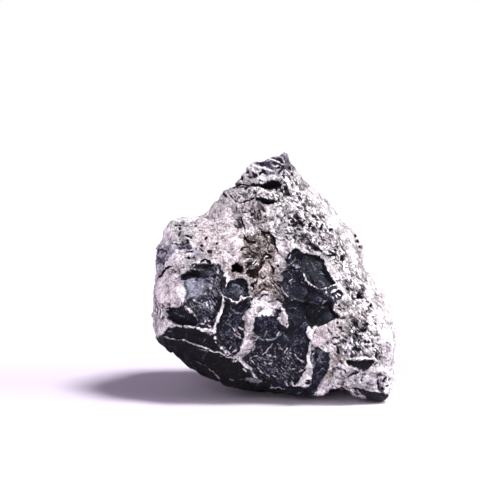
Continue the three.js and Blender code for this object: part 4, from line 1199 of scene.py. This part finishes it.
def stone_material(colours):
    """Weathered limestone cut by calcite veins.

    Dense blue-black limestone is a little glossy where it broke clean. The calcite and the crust
    of weathered carbonate are chalky, and the crust is eaten into pits by rain.
    """
    material = bpy.data.materials.new("weathered limestone with calcite veins")
    material.use_nodes = True
    tree = material.node_tree
    tree.nodes.clear()

    # everything below is kept by name: first what each vertex holds, then what is made of it
    value = {
        name: add(tree, "ShaderNodeAttribute", out=2, attribute_name=name)
        for name in SURFACE_MARKS
    }
    place = add(tree, "ShaderNodeTexCoord", out=3)

    # scratches and grains of the limestone run down to the left, and rain has cut short runnels
    # into the crust, down to the right
    scratched, runnelled = (
        add(tree, "ShaderNodeMapping", {
            "Vector": place, "Rotation": (0, slope, 0), "Scale": (longer, 1.0, 1.0)},
            vector_type="TEXTURE")
        for slope, longer in ((SCRATCH_SLOPE, 3.0), (RUNNEL_SLOPE, 2.6))
    )

    # noises: where they are read, the size of their lumps in millimetres, detail, roughness
    # and distortion. The finest grains, of under a millimetre, are drawn as coarse as they need
    # to show.
    for name, at, size, detail, roughness, distortion in (
        ("ragged", place, 2.6, 4.0, 0.65, 0.0),
        ("mottle", place, 7.0, 6.0, 0.65, 0.0),
        ("crease field", place, 8.0, 3.0, 0.6, 0.4),
        ("runnels", runnelled, 2.1, 3.0, 0.55, 0.7),
        ("pricks", place, 1.9, 2.0, 0.5, 0.0),
        ("worn", place, 13.0, 2.0, 0.5, 0.0),
        ("grain", scratched, 1.7, 3.0, 0.7, 0.0),
        ("pinpoint", place, 1.4, 2.0, 0.5, 0.0),
        ("grains", runnelled, 1.1, 2.0, 0.6, 0.5),
        ("fine", place, 1.8, 3.0, 0.6, 0.0),
    ):
        value[name] = add(tree, "ShaderNodeTexNoise", {
            "Vector": at, "Scale": per_metre(size), "Detail": detail, "Roughness": roughness,
            "Distortion": distortion})
    # small shell-shaped facets, and hair-thin veins
    value["chips"] = add(tree, "ShaderNodeTexVoronoi", {
        "Vector": runnelled, "Scale": per_metre(5.0)}, out=1)
    value["threads"] = add(tree, "ShaderNodeTexVoronoi", {
        "Vector": scratched, "Scale": per_metre(13.0)}, feature="DISTANCE_TO_EDGE")
    value["off middle"] = add(tree, "ShaderNodeMath", {
        0: value["crease field"], 1: 0.5}, operation="SUBTRACT")
    value["off middle"] = add(tree, "ShaderNodeMath", {
        0: value["off middle"]}, operation="ABSOLUTE")

    # sums, each of a first value and shares of others: more of a kind of mark in some places
    # than in others, and how bright the limestone is, with painted shading from each facet's tilt
    for name, first, shares in (
        ("bruises", "runnels", (("bruised", 0.32),)),
        ("runnels", "runnels", (("worn", 0.35),)),
        ("pricks", "pricks", (("worn", 0.3),)),
        ("flecks", "grains", (("flecked", 0.13),)),
        ("tone", "shade", (("mottle", 0.9), ("grain", 3.0), ("chips", 0.4), ("facet", 0.5),
                           ("pinpoint", 2.0))),
    ):
        value[name] = value[first]
        for other, share in shares:
            value[name] = add(tree, "ShaderNodeMath", {
                0: value[other], 1: share, 2: value[name]}, operation="MULTIPLY_ADD")

    # weights: what they are read from, between which limits, and what they are there
    for name, source, low, high, at_low, at_high in (
        ("wander", "ragged", 0.3, 0.7, -1.0, 1.0),
        ("mottled", "mottle", 0.4, 0.62, 0.0, 1.0),
        ("hairlines", "off middle", 0.008, 0.022, 1.0, 0.0),
        ("bruises", "bruises", 0.64, 0.72, 0.0, 1.0),
        ("within", "bruised", 0.02, 0.3, 0.0, 1.0),
        ("pitting_kept", "brightness_shift", 0.0, 1.0, 1.0, 0.35),
        ("deep pits", "pit", 0.35, 0.6, 0.0, 1.0),
        ("creased", "tan", 0.0, 1.0, 0.35, 1.0),
        ("threads", "threads", 0.0, 0.03, 0.6, 0.0),
        ("here", "crease field", 0.56, 0.64, 0.0, 1.0),
        ("flecks", "flecks", 0.67, 0.76, 0.0, 1.0),
        # painted shade: what lies in a crevice is painted dark
        ("crease_shade", "crevice", 0.08, 0.5, 0.0, 0.85),
        # painted highlight on what stands proud, painted shade in dells
        ("dell_light_and_shade", "dell", -1.4, 1.6, 1.18, 0.66),
        ("grit", "pinpoint", 0.33, 0.67, 0.6, 1.4),
        # painted shading, lighter toward one side of each facet
        ("facet_shading", "facet", -1.2, 1.2, 0.8, 1.2),
        # lighter and darker spots, partly painted light and shade
        ("brightness_factor", "brightness_shift", -1.0, 1.0, 0.45, 1.55),
    ):
        value[name] = add(tree, "ShaderNodeMapRange", {
            "Value": value[source], "From Min": low, "From Max": high, "To Min": at_low,
            "To Max": at_high})
    for name, low, high, at_high in (("runnels", 0.69, 0.74, 1.0), ("pricks", 0.69, 0.73, 0.9)):
        value[name] = add(tree, "ShaderNodeMapRange", {
            "Value": value[name], "From Min": low, "From Max": high, "To Max": at_high},
            interpolation_type="SMOOTHSTEP")

    # broken edges wander by about a millimetre
    for name, reach, softness in (
        ("dark", 0.9, 0.25), ("vein", 0.5, 0.2), ("rim", 0.35, 0.3), ("hollow", 0.9, 0.3),
        ("crack", 0.6, 0.2),
    ):
        edge = add(tree, "ShaderNodeMath", {
            0: value["wander"], 1: reach, 2: value[name]}, operation="MULTIPLY_ADD")
        value[name] = add(tree, "ShaderNodeMapRange", {
            "Value": edge, "From Min": -softness, "From Max": softness},
            interpolation_type="SMOOTHSTEP")
    value["tone"] = add(tree, "ShaderNodeMath", {
        0: value["rim"], 1: 1.3, 2: value["tone"]}, operation="MULTIPLY_ADD")
    for name, low, high in (("low tone", 3.1, 4.6), ("high tone", 4.4, 7.2)):
        value[name] = add(tree, "ShaderNodeMapRange", {
            "Value": value["tone"], "From Min": low, "From Max": high})

    # where the crust is eaten away, where the limestone is flecked, what is cut into both, and
    # the painted light and shade: what stands proud is painted paler and what lies low darker,
    # each facet is painted lighter toward one side, and grit and the lighter and darker spots are
    # laid over all
    for name, operation, first, second in (
        ("bruises", "MULTIPLY", "bruises", "within"),
        ("pitting", "MAXIMUM", "runnels", "pricks"),
        ("pitting", "MULTIPLY", "pitting", "pitted"),
        ("pitting", "MAXIMUM", "pitting", "deep pits"),
        ("hairlines", "MULTIPLY", "hairlines", "creased"),
        ("pitting", "MAXIMUM", "pitting", "hairlines"),
        ("pitting", "MULTIPLY", "pitting", "pitting_kept"),
        ("threads", "MULTIPLY", "threads", "here"),
        ("flecks", "MAXIMUM", "flecks", "threads"),
        ("cut", "MAXIMUM", "hollow", "crack"),
        ("painted_light_and_stain", "MULTIPLY", "dell_light_and_shade", "grit"),
        ("painted_light_and_stain", "MULTIPLY", "painted_light_and_stain", "facet_shading"),
        ("painted_light_and_stain", "MULTIPLY", "painted_light_and_stain", "brightness_factor"),
    ):
        value[name] = add(tree, "ShaderNodeMath", {
            0: value[first], 1: value[second]}, operation=operation)

    # colours, laid over each other by weight: the mottled crust and calcite, dirt and painted shade
    # in the pits, smooth plates, iron stain and blue-grey parts, then the limestone, nearly black,
    # blue where the light rakes it, and last the veins, the cuts, dark with dirt and painted shade,
    # and painted shade in creases
    paint = {name: getattr(colours, name) for name in settings_of(colours)}
    for name, weight, under, over in (
        ("crust", "mottled", "crust_shade", "crust"),
        ("cream", "mottled", "cream_shade", "cream"),
        ("hole", "tan", "pit", "brown_pit"),
        ("tan", "mottled", "brown", "tan"),
        ("blue", "mottled", "slate", "lilac"),
        ("vein", "mottled", "vein_shade", "vein"),
        ("crust", "cream", "crust", "cream"),
        ("crust", "tan", "crust", "tan"),
        ("crust", "blue", "crust", "blue"),
        ("crust", "bruises", "crust", "bruise"),
        ("crust", "pitting", "crust", "hole"),
        ("limestone", "low tone", "black_stone", "dark_stone"),
        ("limestone", "high tone", "limestone", "grey_stone"),
        ("limestone", "flecks", "limestone", "fleck"),
        ("stone", "dark", "crust", "limestone"),
        ("stone", "vein", "stone", "vein"),
        ("stone", "cut", "stone", "hole"),
        ("stone", "crease_shade", "stone", "pit"),
    ):
        paint[name] = add(tree, "ShaderNodeMix", {
            0: value[weight], 6: paint[under], 7: paint[over]}, out=2, data_type="RGBA")
    colour = add(tree, "ShaderNodeMix", {0: 1.0, 6: paint["stone"], 7: value["painted_light_and_stain"]}, out=2,
                 data_type="RGBA", blend_type="MULTIPLY", clamp_result=True)

    # clean limestone is smoother than the crust, in gloss and in its fine relief
    rough, coarseness = (
        add(tree, "ShaderNodeMapRange", {
            "Value": value["dark"], "To Min": crusted, "To Max": fresh})
        for crusted, fresh in ((0.9, 0.5), (2.4, 1.0))
    )
    height = value["vein"]
    for first, second in (
        (value["fine"], coarseness), (value["pitting"], -1.0), (value["dark"], -0.7),
    ):
        height = add(tree, "ShaderNodeMath", {0: first, 1: second, 2: height},
                     operation="MULTIPLY_ADD")
    relief = add(tree, "ShaderNodeBump", {
        "Height": height, "Distance": MM, "Strength": 1.0})
    surface = add(tree, "ShaderNodeBsdfPrincipled", {
        "Base Color": colour, "Roughness": rough, "Normal": relief, "IOR": 1.5,
        "Specular IOR Level": 0.15})
    add(tree, "ShaderNodeOutputMaterial", {"Surface": surface})
    return material


def paper_material(colour):
    """Matte white paper: an even, shineless sweep."""
    material = bpy.data.materials.new("matte white paper")
    material.use_nodes = True
    shader = material.node_tree.nodes["Principled BSDF"]
    shader.inputs["Base Color"].default_value = colour
    shader.inputs["Roughness"].default_value = 1.0
    return material


# ---- settings -----------------------------------------------------------------------------------


def settings_of(group):
    """The names of a group's own settings."""
    return [name for name in group.bl_rna.properties.keys() if name not in ("rna_type", "name")]


def length(name, description, default_mm):
    return bpy.props.FloatProperty(
        name=name, description=description, default=default_mm * MM, unit="LENGTH",
        subtype="DISTANCE", precision=5,
    )


def colour(name, description, default_hex):
    return bpy.props.FloatVectorProperty(
        name=name, description=description, default=linear(default_hex), size=4,
        subtype="COLOR", min=0, max=1,
    )


def strength(name, description, default):
    return bpy.props.FloatProperty(name=name, description=description, default=default, min=0)


class ZebraRockSizes(bpy.types.PropertyGroup):
    refinings: bpy.props.IntProperty(
        name="Refinings", description="How often each face of the solid is split in four",
        default=2, min=1, max=2,
    )
    vein_height: length("Vein height", "How far calcite veins stand proud", 0.8)
    crust_relief: length("Crust relief", "Height of the crust's lumps", 0.9)
    facet_height: length("Facet height", "How far broken facets tilt out of the surface", 0.55)
    pit_depth: length("Pit depth", "Depth of the rain pits in the crust", 1.4)


class ZebraRockColours(bpy.types.PropertyGroup):
    crust: colour("Crust", "Pale weathered crust", "#f6f2f1")
    crust_shade: colour("Crust shade", "Greyer patches of the crust", "#b5acb2")
    cream: colour("Calcite plate", "Smooth calcite plates", "#e4d8d9")
    cream_shade: colour("Calcite plate shade", "Greyer parts of the plates", "#c8bcc1")
    tan: colour("Tan", "Iron-stained crust", "#d1c3bf")
    brown: colour("Brown", "Darker stain", "#786964")
    lilac: colour("Lilac grey", "Half-weathered limestone", "#a9a6b4")
    slate: colour("Slate blue", "Bluer half-weathered limestone", "#5d5b6a")
    bruise: colour("Bruise", "Crust eaten down to dirty stone", "#554c5b")
    # painted into pits, hollows and cracks as dirt and painted shade, and into creases as painted
    # shade
    pit: colour("Pit", "Dirt in pits, hollows and cracks", "#18151b")
    # painted into the pits and hollows of the stained crust: dirt and painted shade
    brown_pit: colour("Brown pit", "Dirt in the stained crust", "#2c211e")
    black_stone: colour("Black limestone", "The darkest limestone", "#080913")
    dark_stone: colour("Dark limestone", "Fresh limestone", "#171a2c")
    grey_stone: colour("Grey limestone", "Limestone with the light across it", "#a2a5b0")
    fleck: colour("Fleck", "Calcite grains in the limestone", "#9d99a3")
    vein: colour("Vein", "Calcite vein", "#efeaec")
    vein_shade: colour("Vein shade", "Stained calcite vein", "#cbc3c8")


class ZebraRockStage(bpy.types.PropertyGroup):
    paper: colour("Paper", "The floor's colour", "#c8bfcc")
    key: strength("Key light", "The soft light above, a little to the right", 5.0)
    side: strength("Side light", "The soft light on the right", 3.0)
    fill: strength("Fill light", "The low soft light in front, on the left", 1.55)
    ambient: strength("Ambient light", "The light from all round", 0.27)
    lens: length("Lens", "Focal length of the camera", 150)


# ---- operators ----------------------------------------------------------------------------------


class ZEBRA_ROCK_OT_stone(bpy.types.Operator):
    """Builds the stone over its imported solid"""

    bl_idname = "zebra_rock.stone"
    bl_label = "Stone"
    bl_options = {"REGISTER", "UNDO"}

    def execute(self, context):
        scene = context.scene
        places, triangles, marks = dressed_stone(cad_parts[NODE], scene.zebra_rock_sizes)
        mesh = bpy.data.meshes.new("stone")
        mesh.from_pydata((places * MM).tolist(), [], triangles.tolist())
        if mesh.validate():
            raise RuntimeError("the stone's mesh had faults")
        mesh.polygons.foreach_set("use_smooth", [True] * len(mesh.polygons))
        for name in SURFACE_MARKS:
            values = mesh.attributes.new(name, "FLOAT", "POINT")
            values.data.foreach_set("value", marks[name].astype(np.float32))
        mesh.materials.append(stone_material(scene.zebra_rock_colours))
        mesh.update()
        stone = bpy.data.objects.new("stone", mesh)
        scene.collection.objects.link(stone)
        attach(stone, "root")
        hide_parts(NODE)
        return {"FINISHED"}


class ZEBRA_ROCK_OT_stage(bpy.types.Operator):
    """Lays the floor and sets the lights and the camera"""

    bl_idname = "zebra_rock.stage"
    bl_label = "Stage"
    bl_options = {"REGISTER", "UNDO"}

    def execute(self, context):
        scene = context.scene
        look = scene.zebra_rock_stage
        self.lay_floor(scene, look)
        self.light(scene, look)
        self.set_camera(scene, look)
        scene.view_settings.view_transform = "Standard"
        return {"FINISHED"}

    def lay_floor(self, scene, look):
        half = FLOOR_REACH_M
        mesh = bpy.data.meshes.new("floor")
        corners = [(-half, -half, 0), (half, -half, 0), (half, half, 0), (-half, half, 0)]
        mesh.from_pydata(corners, [], [(0, 1, 2, 3)])
        mesh.materials.append(paper_material(look.paper))
        floor = bpy.data.objects.new("floor", mesh)
        scene.collection.objects.link(floor)

    def light(self, scene, look):
        # direction toward each light, how wide it looks in degrees, and its strength
        for name, toward, width, strength in (
            ("key", (0.5, -0.15, 0.9), 16, look.key),
            ("side", (1.0, -0.2, 0.35), 40, look.side),
            ("fill", (-0.55, -1.0, 0.4), 50, look.fill),
        ):
            lamp = bpy.data.lights.new(name, "SUN")
            lamp.energy = strength
            lamp.angle = math.radians(width)
            holder = bpy.data.objects.new(name, lamp)
            holder.rotation_euler = Vector(toward).to_track_quat("Z", "Y").to_euler()
            scene.collection.objects.link(holder)
        # a slightly violet light from all round, and plain white where the camera sees it
        world = bpy.data.worlds.new("soft surround")
        scene.world = world
        world.use_nodes = True
        tree = world.node_tree
        tree.nodes.clear()
        around = add(tree, "ShaderNodeBackground", {
            "Color": linear("#e9d6ff"), "Strength": look.ambient})
        behind = add(tree, "ShaderNodeBackground", {"Color": linear("#ffffff"), "Strength": 1.0})
        seen = add(tree, "ShaderNodeLightPath", out=0)
        mixed = add(tree, "ShaderNodeMixShader", {0: seen, 1: around, 2: behind})
        add(tree, "ShaderNodeOutputWorld", {"Surface": mixed})

    def set_camera(self, scene, look):
        lens = bpy.data.cameras.new("camera")
        lens.lens = look.lens / MM
        lens.sensor_width = 36  # millimetres
        lens.clip_end = 50  # metres
        camera = bpy.data.objects.new("camera", lens)
        aim = Vector(CAMERA_AIM_MM) * MM
        back = Vector((0, -math.cos(CAMERA_RISE), math.sin(CAMERA_RISE)))
        camera.location = aim + CAMERA_REACH_MM * MM * back
        camera.rotation_euler = back.to_track_quat("Z", "Y").to_euler()
        scene.collection.objects.link(camera)
        scene.camera = camera


class ZEBRA_ROCK_PT_panel(bpy.types.Panel):
    bl_label = "Zebra rock"
    bl_idname = "ZEBRA_ROCK_PT_panel"
    bl_space_type = "VIEW_3D"
    bl_region_type = "UI"
    bl_category = "Zebra rock"

    def draw(self, context):
        for settings in (
            context.scene.zebra_rock_sizes,
            context.scene.zebra_rock_colours,
            context.scene.zebra_rock_stage,
        ):
            box = self.layout.box()
            for name in settings_of(settings):
                box.prop(settings, name)
        self.layout.operator(ZEBRA_ROCK_OT_stone.bl_idname)
        self.layout.operator(ZEBRA_ROCK_OT_stage.bl_idname)


CLASSES = (
    ZebraRockSizes,
    ZebraRockColours,
    ZebraRockStage,
    ZEBRA_ROCK_OT_stone,
    ZEBRA_ROCK_OT_stage,
    ZEBRA_ROCK_PT_panel,
)


def register():
    for made in CLASSES:
        bpy.utils.register_class(made)
    scene = bpy.types.Scene
    scene.zebra_rock_sizes = bpy.props.PointerProperty(type=ZebraRockSizes)
    scene.zebra_rock_colours = bpy.props.PointerProperty(type=ZebraRockColours)
    scene.zebra_rock_stage = bpy.props.PointerProperty(type=ZebraRockStage)


def unregister():
    del bpy.types.Scene.zebra_rock_stage
    del bpy.types.Scene.zebra_rock_colours
    del bpy.types.Scene.zebra_rock_sizes
    for made in reversed(CLASSES):
        bpy.utils.unregister_class(made)


def main():
    register()
    bpy.ops.zebra_rock.stone()
    bpy.ops.zebra_rock.stage()


if __name__ == "__main__":
    main()
